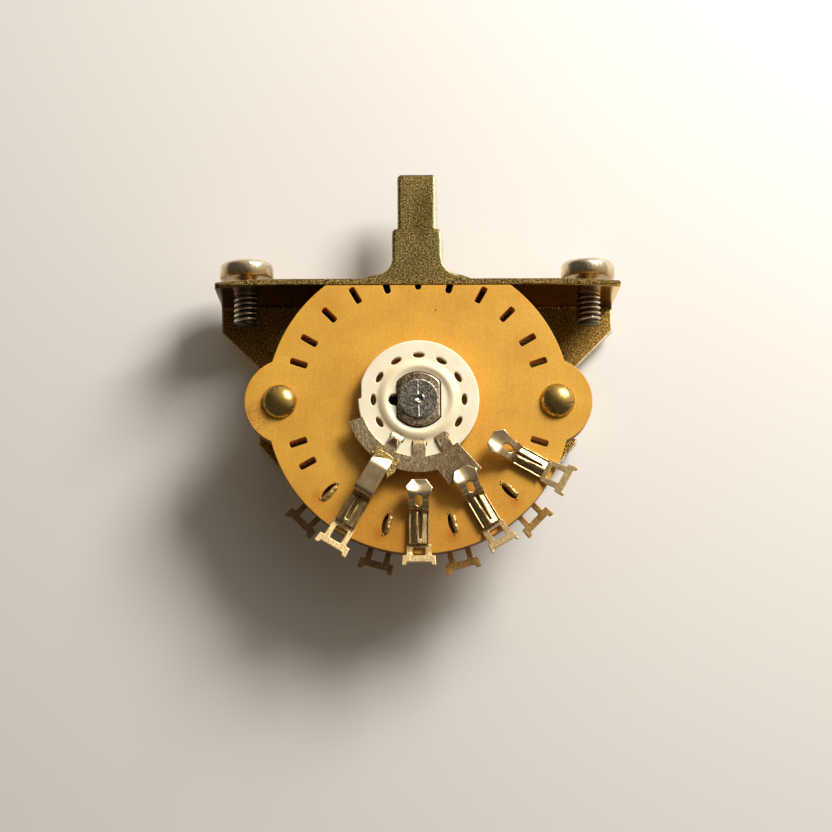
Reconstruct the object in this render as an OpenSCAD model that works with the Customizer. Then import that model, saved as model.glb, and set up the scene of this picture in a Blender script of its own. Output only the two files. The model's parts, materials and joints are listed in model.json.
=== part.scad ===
// Lever selector switch: a folded bracket carries one contact wafer, a rocking lever and its rotor.
// The origin is the middle of the bracket's top face, X runs along the two mounting screws, Z is up.

/* [Bracket] */
// Length of the mounting flange
flange_length = 48.1; // [46:0.1:54]
// Distance from the screw line to the free edge of the flange
flange_front = 6.4; // [6.2:0.1:8]
// Distance from the screw line to the front face of the leg
leg_offset = 5.4; // [5.2:0.1:7]
// Thickness of the bracket sheet
sheet = 0.75; // [0.6:0.05:1.2]
// Height of the straight side of the leg, measured from the top face
leg_straight = 3.95; // [3:0.05:6]
// Half width of the lower part of the leg
leg_half_width = 19.4; // [19:0.1:22]
// Depth of the lower end of the leg below the top face
leg_depth = 26; // [25.6:0.2:30]
// Half length of the lever slot in the flange
lever_slot_half = 12.5; // [12.2:0.1:15]
// Inside radius of the fold
fold_radius = 0.45; // [0.2:0.05:1]

/* [Mounting screws] */
// Distance between the two screws
screw_spacing = 41.3; // [39:0.1:44]
// Outer radius of the screw thread
thread_radius = 1.5; // [1.4:0.05:1.8]
// Core radius of the screw inside the tapped hole
core_radius = 1.28; // [1.1:0.02:1.3]
// Radius of the screw head
head_radius = 3.25; // [2.8:0.05:3.6]
// Gap between the flange and the raised screw head
head_lift = 1.75; // [0.3:0.05:3]
// Full height of the screw head
head_height = 2; // [1.8:0.1:3]
// Depth of the screw tip below the top face
screw_tip = 4.25; // [3.6:0.05:8]

/* [Lever] */
// Depth of the shaft axis below the top face
shaft_drop = 14.9; // [14.6:0.1:16]
// Thickness of the lever plate
lever_thickness = 1.6; // [1.2:0.1:1.8]
// Radius of the arc that fills the slot
sector_radius = 17.6; // [17.2:0.1:18.2]
// Half angle of the arc
sector_half_angle = 40; // [34:1:44]
// Width of the lower part of the blade
blade_low_width = 6.2; // [5:0.1:6.4]
// Width of the upper part of the blade
blade_top_width = 4.8; // [3:0.05:4.9]
// Height of the step in the blade above the top face
step_height = 7.6; // [6:0.1:10]
// Height of the blade tip above the top face
tip_height = 14.4; // [12:0.1:18]
// Radius of the notched tail
tail_radius = 9; // [8.6:0.1:9.2]
// Angle from one resting position to the next
notch_pitch = 15; // [14:0.5:15]

/* [Shaft] */
// Radius of the shaft body
shaft_radius = 3.17; // [3:0.01:3.3]
// Width across the two flats of the shaft
shaft_flats = 4.9; // [4.6:0.05:5.4]
// Radius of the round nose of the shaft
nose_radius = 2.3; // [1.8:0.05:2.4]
// Radius of the shoulder behind the lever
shoulder_radius = 4.2; // [3.8:0.1:4.6]
// Radius of the journal in the leg
journal_radius = 2.5; // [2.2:0.05:2.9]

/* [Wafer] */
// Radius of the wafer
wafer_radius = 17.85; // [17.4:0.05:18.2]
// Thickness of the wafer
wafer_thickness = 2.2; // [1.6:0.1:2.3]
// Distance of the ear centres from the middle
ear_offset = 15.3; // [15:0.1:15.8]
// Radius of the ears
ear_radius = 5.1; // [4.8:0.1:5.4]
// Radius of the ring on which the terminal slots lie
slot_ring = 14.85; // [14.7:0.05:15]
// Length of one terminal slot
slot_length = 2.05; // [1.9:0.05:2.2]
// Width of one terminal slot
slot_width = 0.66; // [0.6:0.02:0.8]
// Distance of the rivets from the middle
rivet_offset = 16.3; // [16:0.1:16.6]
// Radius of the domed rivet heads
rivet_head_radius = 2.03; // [1.8:0.05:2.3]

/* [Rotor and contacts] */
// Radius of the rotor discs
rotor_radius = 7.05; // [6.9:0.05:7.2]
// Radius of the rotor neck inside the wafer
neck_radius = 6.05; // [5.9:0.05:6.2]
// Height of the rotor faces above the wafer
rotor_rise = 1.8; // [1.7:0.05:1.9]
// Radius of the ring of small rotor holes
rotor_hole_ring = 5.3; // [5.2:0.05:5.4]
// Inner radius of the contact arc
arc_inner = 6.75; // [6.6:0.05:6.85]
// Outer radius of the contact arc
arc_outer = 8.6; // [8.3:0.05:8.8]
// Outer radius of the wide contact tab
tab_outer = 10.95; // [10.6:0.05:11.1]
// Thickness of the contact sheet
contact_sheet = 0.3; // [0.2:0.02:0.34]
// Height of the round ridge on the rotor face
ridge_rise = 0.4; // [0.2:0.05:0.5]

/* [Terminals] */
// Thickness of the terminal sheet
clip_sheet = 0.25; // [0.2:0.01:0.3]
// Width of the terminal strip
clip_width = 2.35; // [2:0.05:2.6]
// Half width of the flared jaw
jaw_half_width = 1.6; // [1.3:0.05:1.7]
// Distance of the solder lug ends from the shaft axis, measured along the sheet
lug_outer = 20.3; // [19.8:0.1:21]
// Height of the folded roof along the middle of a terminal
roof_rise = 0.45; // [0.2:0.05:0.6]

/* [Hidden] */
$fn = 64;
gap_run = 0.06;
gap_side = 0.12;
gap_top = 0.05;
wafer_front = -flange_front + 0.05;
wafer_back = wafer_front + wafer_thickness;
front_face = wafer_front - rotor_rise;
back_face = wafer_back + rotor_rise;
nose_front = front_face - 0.95;
leg_back = leg_offset + sheet;
lever_half = lever_thickness / 2;
screw_half = screw_spacing / 2;
tapped_radius = core_radius + gap_run;
wafer_hole = neck_radius + 0.08;
contact_low = rotor_rise;
contact_high = contact_low + contact_sheet;
jaw_low = contact_low - gap_run - clip_sheet;
jaw_high = contact_high + gap_run;
journal_end = leg_back + 1.35;
ring_front = leg_back + 0.15;
ring_thickness = 0.5;
ring_seat = journal_radius - 0.6;
notch_radius = 0.95;
notch_centre = tail_radius + 0.35;
spring_nose = notch_radius - 0.05;
spring_sheet = 0.35;
spring_half_length = 11;
spring_front = -lever_half - 0.1;
spring_rivet_x = 8.8;
spring_rivet_z = -22.5;
ear_low = -20.8;
clip_bends = slot_ring - 1.75;
lug_neck = slot_ring + 1.8;
lug_bend = slot_ring + 2.05;
lug_return = slot_ring + 3.85;
front_angles = [-121, -90.3, -60, -29];
back_angles = [-45, -75, -105, -135];
top_slot_angles = [75, 90, 105];
zinc = [0.55, 0.49, 0.26];
dark_steel = [0.36, 0.35, 0.33];
phenolic = [0.85, 0.62, 0.26];
nylon = [0.94, 0.89, 0.76];
silver = [0.72, 0.69, 0.6];
brass = [0.62, 0.5, 0.24];
nickel = [0.7, 0.68, 0.62];
spring_steel = [0.45, 0.45, 0.47];

// A flat outline in X and Z, given a thickness along Y.
module upright(from, thick) {
  translate([0, from + thick, 0])
    rotate([90, 0, 0])
      linear_extrude(height = thick)
        children();
}

// A round rod along Y through the point x, z.
module rod(x, z, from, to, r, facets = 64) {
  translate([x, to, z])
    rotate([90, 0, 0])
      cylinder(h = to - from, r = r, $fn = facets);
}

// A cone along Y, r_from at the first end and r_to at the second.
module taper(x, z, from, to, r_from, r_to) {
  translate([x, to, z])
    rotate([90, 0, 0])
      cylinder(h = to - from, r1 = r_to, r2 = r_from);
}

module stadium(length, width) {
  square([length - width, width], center = true);
  translate([(length - width) / 2, 0])
    circle(d = width, $fn = 32);
  translate([-(length - width) / 2, 0])
    circle(d = width, $fn = 32);
}

// The folded sheet: flange, round fold and leg.
module bracket() {
  outer = fold_radius + sheet;
  color(zinc)
    difference() {
      union() {
        translate([-flange_length / 2, -flange_front, -sheet])
          cube([flange_length, flange_front + leg_back - outer, sheet]);
        intersection() {
          translate([-flange_length / 2, leg_back - outer, -outer])
            rotate([0, 90, 0])
              difference() {
                cylinder(h = flange_length, r = outer);
                translate([0, 0, -1])
                  cylinder(h = flange_length + 2, r = fold_radius);
              }
          translate([-flange_length / 2, leg_back - outer, -outer])
            cube([flange_length, outer + 1, outer + 1]);
        }
        upright(leg_offset, sheet)
          leg_outline(outer);
      }
      translate([0, 0, -sheet / 2])
        cube([2 * lever_slot_half - 2, lever_thickness + 0.6, 2 * sheet], center = true);
      for (side = [-1, 1]) {
        translate([side * (lever_slot_half - lever_half - 0.3), 0, -2 * sheet])
          cylinder(h = 4 * sheet, r = lever_half + 0.3);
        translate([side * screw_half, 0, -2 * sheet])
          cylinder(h = 4 * sheet, r = tapped_radius);
        translate([side * screw_half, 0, -sheet - 0.01])
          cylinder(h = 0.36, r1 = tapped_radius + 0.45, r2 = tapped_radius);
        rod(side * rivet_offset, -shaft_drop + 0.15, leg_offset - 1, leg_back + 1, 1.25);
        rod(side * spring_rivet_x, spring_rivet_z, leg_offset - 1, leg_back + 1, 0.75);
      }
      rod(0, -shaft_drop, leg_offset - 1, leg_back + 1, journal_radius + gap_run);
    }
}

module leg_outline(top) {
  drop = flange_length / 2 - leg_half_width;
  polygon([
    [-flange_length / 2, -top],
    [-flange_length / 2, -leg_straight],
    [-leg_half_width, -leg_straight - drop],
    [-leg_half_width, -18],
    [-12.5, -leg_depth],
    [12.5, -leg_depth],
    [leg_half_width, -18],
    [leg_half_width, -leg_straight - drop],
    [flange_length / 2, -leg_straight],
    [flange_length / 2, -top]
  ]);
}

// Screw with a pan head, a plain core in the tapped hole and a full thread at the free end.
module mounting_screw(x) {
  wall = head_height - 0.9;
  free_top = -sheet - 0.3;
  color(nickel)
    translate([x, 0, 0])
      difference() {
        union() {
          translate([0, 0, head_lift])
            rotate_extrude($fn = 96)
              polygon([
                [0, 0], [head_radius - 0.2, 0], [head_radius, 0.2], [head_radius, wall],
                [head_radius - 0.06, wall + 0.25], [head_radius - 0.23, wall + 0.47],
                [head_radius - 0.5, wall + 0.63], [head_radius - 0.9, wall + 0.73],
                [head_radius - 1.6, wall + 0.82], [0, head_height]
              ]);
          translate([0, 0, free_top - 0.1])
            cylinder(h = head_lift + 0.3 - free_top, r = core_radius);
          translate([0, 0, -screw_tip + 0.3])
            cylinder(h = free_top + screw_tip - 0.3, r = thread_radius);
          translate([0, 0, -screw_tip])
            cylinder(h = 0.3, r1 = thread_radius - 0.3, r2 = thread_radius);
        }
        for (turn = [0, 90])
          rotate([0, 0, turn + 20])
            translate([-1.9, -0.35, head_lift + head_height - 1.35])
              cube([3.8, 0.7, 2]);
      }
}

module screw_left() {
  mounting_screw(-screw_half);
}

module screw_right() {
  mounting_screw(screw_half);
}

module shaft_section(play) {
  intersection() {
    circle(r = shaft_radius + play, $fn = 96);
    square([shaft_flats + 2 * play, 3 * shaft_radius], center = true);
  }
}

// The lever plate: notched tail, hub, arc that fills the slot and stepped blade with chamfered edges.
module lever() {
  fillet = 1.9;
  half = blade_low_width / 2;
  fillet_x = half + fillet;
  fillet_z = sqrt(pow(sector_radius + fillet, 2) - pow(fillet_x, 2));
  touch = atan(fillet_x / fillet_z) - 0.8;
  foot = sector_radius - 0.4;
  color(zinc)
    translate([0, 0, -shaft_drop]) {
      difference() {
        union() {
          upright(-lever_half, lever_thickness)
            difference() {
              union() {
                circle(r = 5.6, $fn = 96);
                intersection() {
                  circle(r = sector_radius, $fn = 180);
                  polygon([
                    [0, -2],
                    [-30 * sin(sector_half_angle), 30 * cos(sector_half_angle) - 2],
                    [0, 40],
                    [30 * sin(sector_half_angle), 30 * cos(sector_half_angle) - 2]
                  ]);
                }
                intersection() {
                  circle(r = tail_radius, $fn = 128);
                  polygon([[0, 2], [-18, -16], [0, -30], [18, -16]]);
                }
                for (side = [-1, 1])
                  difference() {
                    polygon([
                      [0, sector_radius - 2],
                      [0, fillet_z],
                      [side * fillet_x, fillet_z],
                      [side * foot * sin(touch), foot * cos(touch)]
                    ]);
                    translate([side * fillet_x, fillet_z])
                      circle(r = fillet, $fn = 64);
                  }
              }
              for (step = [-2, -1, 0, 1, 2])
                rotate([0, 0, step * notch_pitch])
                  translate([0, -notch_centre])
                    circle(r = notch_radius, $fn = 32);
            }
          blade_bar(blade_low_width, sector_radius - 0.6, shaft_drop + step_height);
          blade_bar(blade_top_width, shaft_drop + step_height - 0.3, shaft_drop + tip_height - 0.4);
          translate([0, 0, shaft_drop + tip_height - 0.4])
            blade_end();
        }
        upright(-lever_half - 1, lever_thickness + 2)
          shaft_section(0.02);
      }
    }
}

module bar_section(width, chamfer) {
  w = width / 2;
  t = lever_half;
  c = chamfer;
  polygon([
    [-w, -t + c], [-w + c, -t], [w - c, -t], [w, -t + c],
    [w, t - c], [w - c, t], [-w + c, t], [-w, t - c]
  ]);
}

module blade_bar(width, from, to) {
  translate([0, 0, from])
    linear_extrude(height = to - from)
      bar_section(width, 0.4);
}

// Rounded tip of the blade, cut from both sides.
module blade_end() {
  intersection() {
    linear_extrude(height = 0.4)
      bar_section(blade_top_width, 0.4);
    translate([0, lever_thickness, 0])
      rotate([90, 0, 0])
        linear_extrude(height = 2 * lever_thickness)
          polygon([
            [-blade_top_width / 2, 0],
            [-blade_top_width / 2 + 0.12, 0.25],
            [-blade_top_width / 2 + 0.4, 0.4],
            [blade_top_width / 2 - 0.4, 0.4],
            [blade_top_width / 2 - 0.12, 0.25],
            [blade_top_width / 2, 0]
          ]);
  }
}

// The shaft: round nose with a scribed line and a centre mark, flatted body, shoulder and journal with a groove for the ring.
module shaft() {
  color(dark_steel)
    translate([0, 0, -shaft_drop]) {
      difference() {
        union() {
          taper(0, 0, nose_front, nose_front + 0.1, nose_radius - 0.12, nose_radius);
          rod(0, 0, nose_front + 0.1, nose_front + 0.5, nose_radius);
          upright(nose_front + 0.45, lever_half - nose_front - 0.45)
            shaft_section(0);
          rod(0, 0, lever_half, leg_offset - 0.3, shoulder_radius);
          rod(0, 0, leg_offset - 0.4, journal_end, journal_radius);
        }
        difference() {
          rod(0, 0, ring_front - 0.02, ring_front + ring_thickness + 0.02, journal_radius + 1);
          rod(0, 0, ring_front - 1, ring_front + ring_thickness + 1, ring_seat);
        }
        taper(0, 0, nose_front - 0.1, nose_front + 0.35, 0.4, 0.02);
        translate([-0.08, nose_front - 0.1, -nose_radius])
          cube([0.16, 0.2, 2 * nose_radius]);
      }
    }
}

module retaining_ring() {
  color(spring_steel)
    translate([0, 0, -shaft_drop])
      upright(ring_front, ring_thickness)
        difference() {
          circle(r = 4.4);
          circle(r = ring_seat + 0.02);
          translate([0, -4])
            square([2 * ring_seat - 0.3, 8], center = true);
          for (side = [-1, 1])
            translate([side * 2.7, 1.4])
              circle(r = 0.95);
        }
}

module wafer_slots() {
  free_angles = [30, 45, 60, 120, 135, 150, 18.5, 161.5, -18.5, -161.5, -151];
  for (a = [each front_angles, each back_angles, each free_angles])
    rotate([0, 0, a])
      translate([slot_ring, 0])
        stadium(slot_length, slot_width);
  for (a = top_slot_angles)
    rotate([0, 0, a])
      translate([slot_ring - 0.25, 0])
        stadium(slot_length, slot_width);
}

// The insulating wafer with two ears, a flat top and a ring of slots.
module wafer() {
  color(phenolic)
    translate([0, 0, -shaft_drop])
      upright(wafer_front, wafer_thickness)
        difference() {
          union() {
            circle(r = wafer_radius, $fn = 180);
            for (side = [-1, 1])
              translate([side * ear_offset, 0.15])
                circle(r = ear_radius, $fn = 96);
          }
          translate([-30, shaft_drop - sheet - gap_top])
            square([60, 20]);
          circle(r = wafer_hole, $fn = 96);
          for (side = [-1, 1])
            translate([side * rivet_offset, 0.15])
              circle(r = 1.25, $fn = 48);
          wafer_slots();
        }
}

module rotor_holes(first, last) {
  for (a = [first:30:last])
    rotate([0, 0, a])
      translate([rotor_hole_ring, 0])
        rotate([0, 0, 90])
          stadium(1.3, 0.64);
}

// The three larger holes that take the tabs of the contact.
module tab_holes() {
  for (a = [-120, -90, -60])
    rotate([0, 0, a])
      translate([rotor_hole_ring - 0.06, 0])
        rotate([0, 0, 90])
          stadium(1.75, 0.84);
}

// Round ridge on a rotor face, its foot on the plane of X and Y.
module ridge() {
  rotate_extrude($fn = 96)
    polygon([
      [3.4, -0.1], [3.4, 0], [3.6, 0.45 * ridge_rise], [3.95, 0.87 * ridge_rise], [4.25, ridge_rise],
      [4.55, 0.87 * ridge_rise], [4.9, 0.45 * ridge_rise], [5.1, 0], [5.1, -0.1]
    ]);
}

// Front half of the rotor: disc, neck through the wafer and raised ridge round the shaft.
module rotor_front() {
  face = front_face;
  color(nylon)
    translate([0, 0, -shaft_drop])
      difference() {
        union() {
          rod(0, 0, face + 0.15, wafer_front - gap_side, rotor_radius, 96);
          taper(0, 0, face, face + 0.15, rotor_radius - 0.12, rotor_radius);
          rod(0, 0, wafer_front - gap_side - 0.1, wafer_back + gap_side, neck_radius, 96);
          translate([0, face, 0])
            rotate([90, 0, 0])
              ridge();
        }
        upright(face - 1, wafer_thickness + 6)
          shaft_section(0.07);
        upright(face - 1, wafer_thickness + 6) {
          rotor_holes(-180, 150);
          tab_holes();
        }
        rod(-2.85, 0, face - 1, face + 0.8, 0.7, 32);
        translate([-rotor_radius - 1, face - 1, 0.2])
          cube([1.33, rotor_rise - gap_side + 0.9, 4]);
      }
}

module rotor_back() {
  face = back_face;
  color(nylon)
    translate([0, 0, -shaft_drop])
      difference() {
        union() {
          rod(0, 0, wafer_back + gap_side, face, rotor_radius, 96);
          translate([0, face, 0])
            rotate([-90, 0, 0])
              ridge();
        }
        upright(wafer_back - 1, rotor_rise + 4)
          shaft_section(0.07);
        upright(wafer_back - 1, rotor_rise + 4)
          rotor_holes(-165, 165);
      }
}

// Outline of the wiping contact: an arc, three inward tabs and one wide tab.
module contact_outline() {
  difference() {
    circle(r = arc_outer, $fn = 128);
    circle(r = arc_inner, $fn = 128);
    polygon([
      [0, 0],
      [20 * cos(-50), 20 * sin(-50)],
      [20, 0], [20, 20], [-20, 20],
      [20 * cos(-162.3), 20 * sin(-162.3)]
    ]);
  }
  polygon([
    [(arc_inner + 0.1) * cos(-48.5), (arc_inner + 0.1) * sin(-48.5)],
    [tab_outer * cos(-48.5), tab_outer * sin(-48.5)],
    [(tab_outer - 0.2) * cos(-71.3), (tab_outer - 0.2) * sin(-71.3)],
    [(arc_outer - 0.1) * cos(-76), (arc_outer - 0.1) * sin(-76)],
    [(arc_inner + 0.2) * cos(-70), (arc_inner + 0.2) * sin(-70)]
  ]);
  for (a = [-120, -90, -60])
    rotate([0, 0, a])
      translate([5.05, -0.75])
        square([arc_inner - 4.85, 1.5]);
}

module contact_feet() {
  for (a = [-120, -90, -60])
    rotate([0, 0, a])
      translate([5.15, -0.55])
        square([0.3, 1.1]);
}

module front_contact() {
  face = front_face;
  color(silver)
    translate([0, 0, -shaft_drop]) {
      upright(face - contact_sheet, contact_sheet)
        contact_outline();
      upright(face - 0.1, 1.1)
        contact_feet();
    }
}

module back_contact() {
  face = back_face;
  color(silver)
    translate([0, 0, -shaft_drop])
      rotate([0, -15, 0]) {
        upright(face, contact_sheet)
          mirror([1, 0, 0])
            contact_outline();
        upright(face - 1, 1.1)
          mirror([1, 0, 0])
            contact_feet();
      }
}

// Points on one side of the middle line, followed by their mirror images.
function both_sides(points) =
  concat(points, [for (i = [len(points) - 1:-1:0]) [points[i][0], -points[i][1]]]);

// A leaf of the sheet over its lower line, as an outline.
function leaf(line) =
  concat(line, [for (i = [len(line) - 1:-1:0]) line[i] + [0.12, clip_sheet]]);

// Plan of a terminal: flared jaw at its inner end, strip and forked solder lug.
module clip_plan(jaw) {
  half = clip_width / 2;
  side = half + 0.2;
  ear = half + 0.88;
  difference() {
    polygon(both_sides([
      each jaw,
      [lug_neck - 0.1, -half], [lug_neck + 0.2, -side],
      [lug_outer - 1.3, -side], [lug_outer - 1.24, -ear],
      [lug_outer, -ear], [lug_outer, -ear + 0.5], [lug_outer - 0.4, -side]
    ]));
    translate([lug_outer - 2.06, 0])
      square([1.68, 1.48], center = true);
  }
}

// Side view of the two leaves, which open into jaws on both sides of the contact.
module clip_side(tip, upper_line) {
  polygon(leaf([
    [tip, jaw_low - 0.23], [tip + 0.6, jaw_low], [tip + 1.3, jaw_low],
    [clip_bends - 1.3, jaw_low - 0.4], [clip_bends - 0.4, 0.38], [clip_bends + 0.1, 0], [lug_bend - 0.12, 0]
  ]));
  polygon(leaf([
    each upper_line,
    [clip_bends + 0.4, clip_sheet - 0.01]
  ]));
}

// Folded roof along the strip: both halves rise to a ridge, with a raised lip on both sides and a slit.
module clip_roof() {
  half = clip_width / 2;
  low = clip_sheet - 0.01;
  top = 2 * clip_sheet;
  difference() {
    translate([clip_bends, 0, 0])
      rotate([90, 0, 90])
        linear_extrude(height = lug_neck - clip_bends)
          polygon([
            [-half, low], [-0.2, low + roof_rise], [half, low], [half, top + 0.12], [half - 0.22, top],
            [-0.2, top + roof_rise], [-half + 0.22, top], [-half, top + 0.12]
          ]);
    translate([clip_bends + 0.5, 0.04, clip_sheet])
      cube([lug_neck - clip_bends - 1, 0.2, 2]);
  }
}

// A length of the lug's flat sheet, its near edge moved to the origin.
module lug_length(jaw, from, to) {
  intersection() {
    translate([-from, 0, 0])
      linear_extrude(height = clip_sheet)
        clip_plan(jaw);
    translate([0, -4, -1])
      cube([to - from, 8, 2]);
  }
}

// The lug turns off the board by rise degrees and back by settle degrees.
module lug(jaw, rise, settle) {
  translate([lug_bend, 0, 0])
    rotate([0, -rise, 0]) {
      lug_length(jaw, lug_bend, lug_return);
      translate([lug_return - lug_bend, 0, clip_sheet])
        rotate([0, settle, 0])
          translate([0, 0, -clip_sheet])
            lug_length(jaw, lug_return, lug_outer + 1);
    }
}

// One terminal along X with its foot on the plane of X and Y: two leaves, roof, lug and foot.
module terminal(tip, jaw, upper_line, rise, settle) {
  intersection() {
    translate([0, 2.5, 0])
      rotate([90, 0, 0])
        linear_extrude(height = 5)
          clip_side(tip, upper_line);
    translate([0, 0, -1])
      linear_extrude(height = 6)
        clip_plan(jaw);
  }
  clip_roof();
  lug(jaw, rise, settle);
  translate([slot_ring - 0.8, -0.2, -wafer_thickness - 0.3])
    cube([1.6, 0.4, wafer_thickness + 0.35 + clip_sheet]);
  translate([slot_ring, 0, -wafer_thickness - 0.4])
    linear_extrude(height = 0.4)
      difference() {
        stadium(2.3, 1);
        translate([0, 0.22])
          stadium(1.7, 0.3);
      }
}

// A clip: a narrow jaw with an oval hole, whose upper leaf steps down to the roof.
module clip(rise, settle) {
  tip = 9.45;
  jaw = [[tip, -0.85], [tip + 0.95, -jaw_half_width], [tip + 2.15, -clip_width / 2]];
  line = [
    [tip, jaw_high], [tip + 1.9, jaw_high], [tip + 2.5, 1.52], [tip + 2.65, 1.44],
    [clip_bends - 0.6, 1.38], [clip_bends - 0.48, 1.3], [clip_bends - 0.1, clip_sheet + 0.2],
    [clip_bends + 0.05, clip_sheet]
  ];
  difference() {
    terminal(tip, jaw, line, rise, settle);
    translate([tip + 2.37, 0, 0.5])
      linear_extrude(height = 3)
        stadium(1.3, 0.8);
  }
}

// The common terminal: a long raised bar whose jaw reaches further in.
module common(rise, settle) {
  tip = 7.3;
  jaw = [[tip, -1.35], [tip + 0.25, -jaw_half_width], [tip + 0.7, -1.45], [tip + 1, -clip_width / 2]];
  line = [
    [tip, jaw_high + 0.2], [tip + 0.4, jaw_high + 0.04], [tip + 0.8, jaw_high],
    [tip + 1.4, jaw_high + 0.3], [clip_bends - 0.7, jaw_high + 0.31], [clip_bends - 0.4, jaw_high + 0.06],
    [clip_bends - 0.05, clip_sheet + 0.35], [clip_bends + 0.2, clip_sheet]
  ];
  terminal(tip, jaw, line, rise, settle);
}

module on_front(angle) {
  color(silver)
    translate([0, wafer_front, -shaft_drop])
      rotate([0, -angle, 0])
        rotate([90, 0, 0])
          children();
}

module on_back(angle) {
  color(silver)
    translate([0, wafer_back, -shaft_drop])
      rotate([0, -angle, 0])
        rotate([-90, 0, 0])
          children();
}

module front_common() {
  on_front(front_angles[0])
    common(12, 0);
}

module front_clip_1() {
  on_front(front_angles[1])
    clip(64, 56);
}

module front_clip_2() {
  on_front(front_angles[2])
    clip(46, 32);
}

module front_clip_3() {
  on_front(front_angles[3])
    clip(24, 12);
}

module back_common() {
  on_back(back_angles[0])
    common(3, 0);
}

module back_clip_1() {
  on_back(back_angles[1])
    clip(3, 0);
}

module back_clip_2() {
  on_back(back_angles[2])
    clip(3, 0);
}

module back_clip_3() {
  on_back(back_angles[3])
    clip(3, 0);
}

// Rivet with a domed head in front of the wafer and a flat closing head behind the leg.
module rivet(x) {
  dome = 1.25;
  dome_radius = (pow(rivet_head_radius, 2) + dome * dome) / (2 * dome);
  z = -shaft_drop + 0.15;
  color(brass) {
    rod(x, z, wafer_front - 0.2, leg_back + 0.3, 1.2, 48);
    intersection() {
      translate([x, wafer_front - dome + dome_radius, z])
        sphere(r = dome_radius, $fn = 96);
      rod(x, z, wafer_front - dome - 1, wafer_front, rivet_head_radius + 0.5);
    }
    rod(x, z, leg_back, leg_back + 0.5, 1.9, 48);
    taper(x, z, leg_back + 0.5, leg_back + 0.8, 1.9, 1.4);
  }
}

module rivet_left() {
  rivet(-rivet_offset);
}

module rivet_right() {
  rivet(rivet_offset);
}

module spacer(x) {
  z = -shaft_drop + 0.15;
  color(brass)
    difference() {
      rod(x, z, wafer_back, leg_offset, 2.4, 48);
      rod(x, z, wafer_back - 1, leg_offset + 1, 1.25, 48);
    }
}

module spacer_left() {
  spacer(-rivet_offset);
}

module spacer_right() {
  spacer(rivet_offset);
}

// Flat spring whose rounded nose rests in a notch of the lever tail; two ears fix it to the leg.
module detent_spring() {
  nose_z = -shaft_drop - notch_centre;
  top = nose_z;
  color(spring_steel)
    difference() {
      union() {
        translate([-spring_half_length, spring_front, top - spring_sheet])
          cube([2 * spring_half_length, leg_offset - spring_front, spring_sheet]);
        intersection() {
          rod(0, nose_z, spring_front, leg_offset, spring_nose, 48);
          translate([-3, spring_front - 1, nose_z - 0.05])
            cube([6, 8, 3]);
        }
        for (side = [-1, 1])
          translate([side * spring_rivet_x - 2.2, leg_offset - spring_sheet, top - spring_sheet])
            cube([4.4, spring_sheet, ear_low - top + spring_sheet]);
      }
      rod(0, nose_z, spring_front - 1, leg_offset + 1, spring_nose - spring_sheet, 48);
      for (side = [-1, 1])
        rod(side * spring_rivet_x, spring_rivet_z, leg_offset - 2, leg_offset + 1, 0.75, 32);
    }
}

module spring_rivets() {
  color(nickel)
    for (side = [-1, 1]) {
      x = side * spring_rivet_x;
      rod(x, spring_rivet_z, leg_offset - spring_sheet - 0.2, leg_back + 0.2, 0.7, 32);
      rod(x, spring_rivet_z, leg_offset - spring_sheet - 0.6, leg_offset - spring_sheet, 1.3, 32);
      rod(x, spring_rivet_z, leg_back, leg_back + 0.5, 1.2, 32);
    }
}

bracket();
lever();
shaft();
retaining_ring();
wafer();
rotor_front();
rotor_back();
front_contact();
back_contact();
front_common();
front_clip_1();
front_clip_2();
front_clip_3();
back_common();
back_clip_1();
back_clip_2();
back_clip_3();
rivet_left();
rivet_right();
spacer_left();
spacer_right();
screw_left();
screw_right();
detent_spring();
spring_rivets();
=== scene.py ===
import json
import math
import bmesh
import bpy
import numpy as np
from mathutils import Matrix, Vector
from mathutils.geometry import delaunay_2d_cdt


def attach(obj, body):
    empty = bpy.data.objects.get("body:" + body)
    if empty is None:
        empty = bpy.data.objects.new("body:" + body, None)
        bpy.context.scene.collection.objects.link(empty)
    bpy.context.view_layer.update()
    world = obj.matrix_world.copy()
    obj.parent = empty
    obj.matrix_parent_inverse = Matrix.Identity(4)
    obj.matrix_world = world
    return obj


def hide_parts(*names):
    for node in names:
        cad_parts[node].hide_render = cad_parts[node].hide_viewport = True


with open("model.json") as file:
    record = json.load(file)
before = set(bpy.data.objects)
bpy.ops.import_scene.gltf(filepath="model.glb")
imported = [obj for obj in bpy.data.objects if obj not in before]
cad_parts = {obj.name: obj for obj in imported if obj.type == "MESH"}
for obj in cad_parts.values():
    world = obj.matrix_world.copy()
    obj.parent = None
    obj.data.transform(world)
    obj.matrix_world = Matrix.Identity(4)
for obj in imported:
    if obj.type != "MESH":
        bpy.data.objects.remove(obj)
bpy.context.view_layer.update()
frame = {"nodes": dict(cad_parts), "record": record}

mm = 0.001
axisZ = -14.9  # height of the shaft axis
rivetX, screwX = 16.3, 20.65  # left and right of the middle
waferFront, waferBack = -6.35, -4.15
rotorFace = 1.8  # rotor and contact heights are measured from the wafer's face

# Nodes and expressions


def operator(name):
    # a method that adds one Math node
    return lambda self, other: self.math(name, other)


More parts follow.
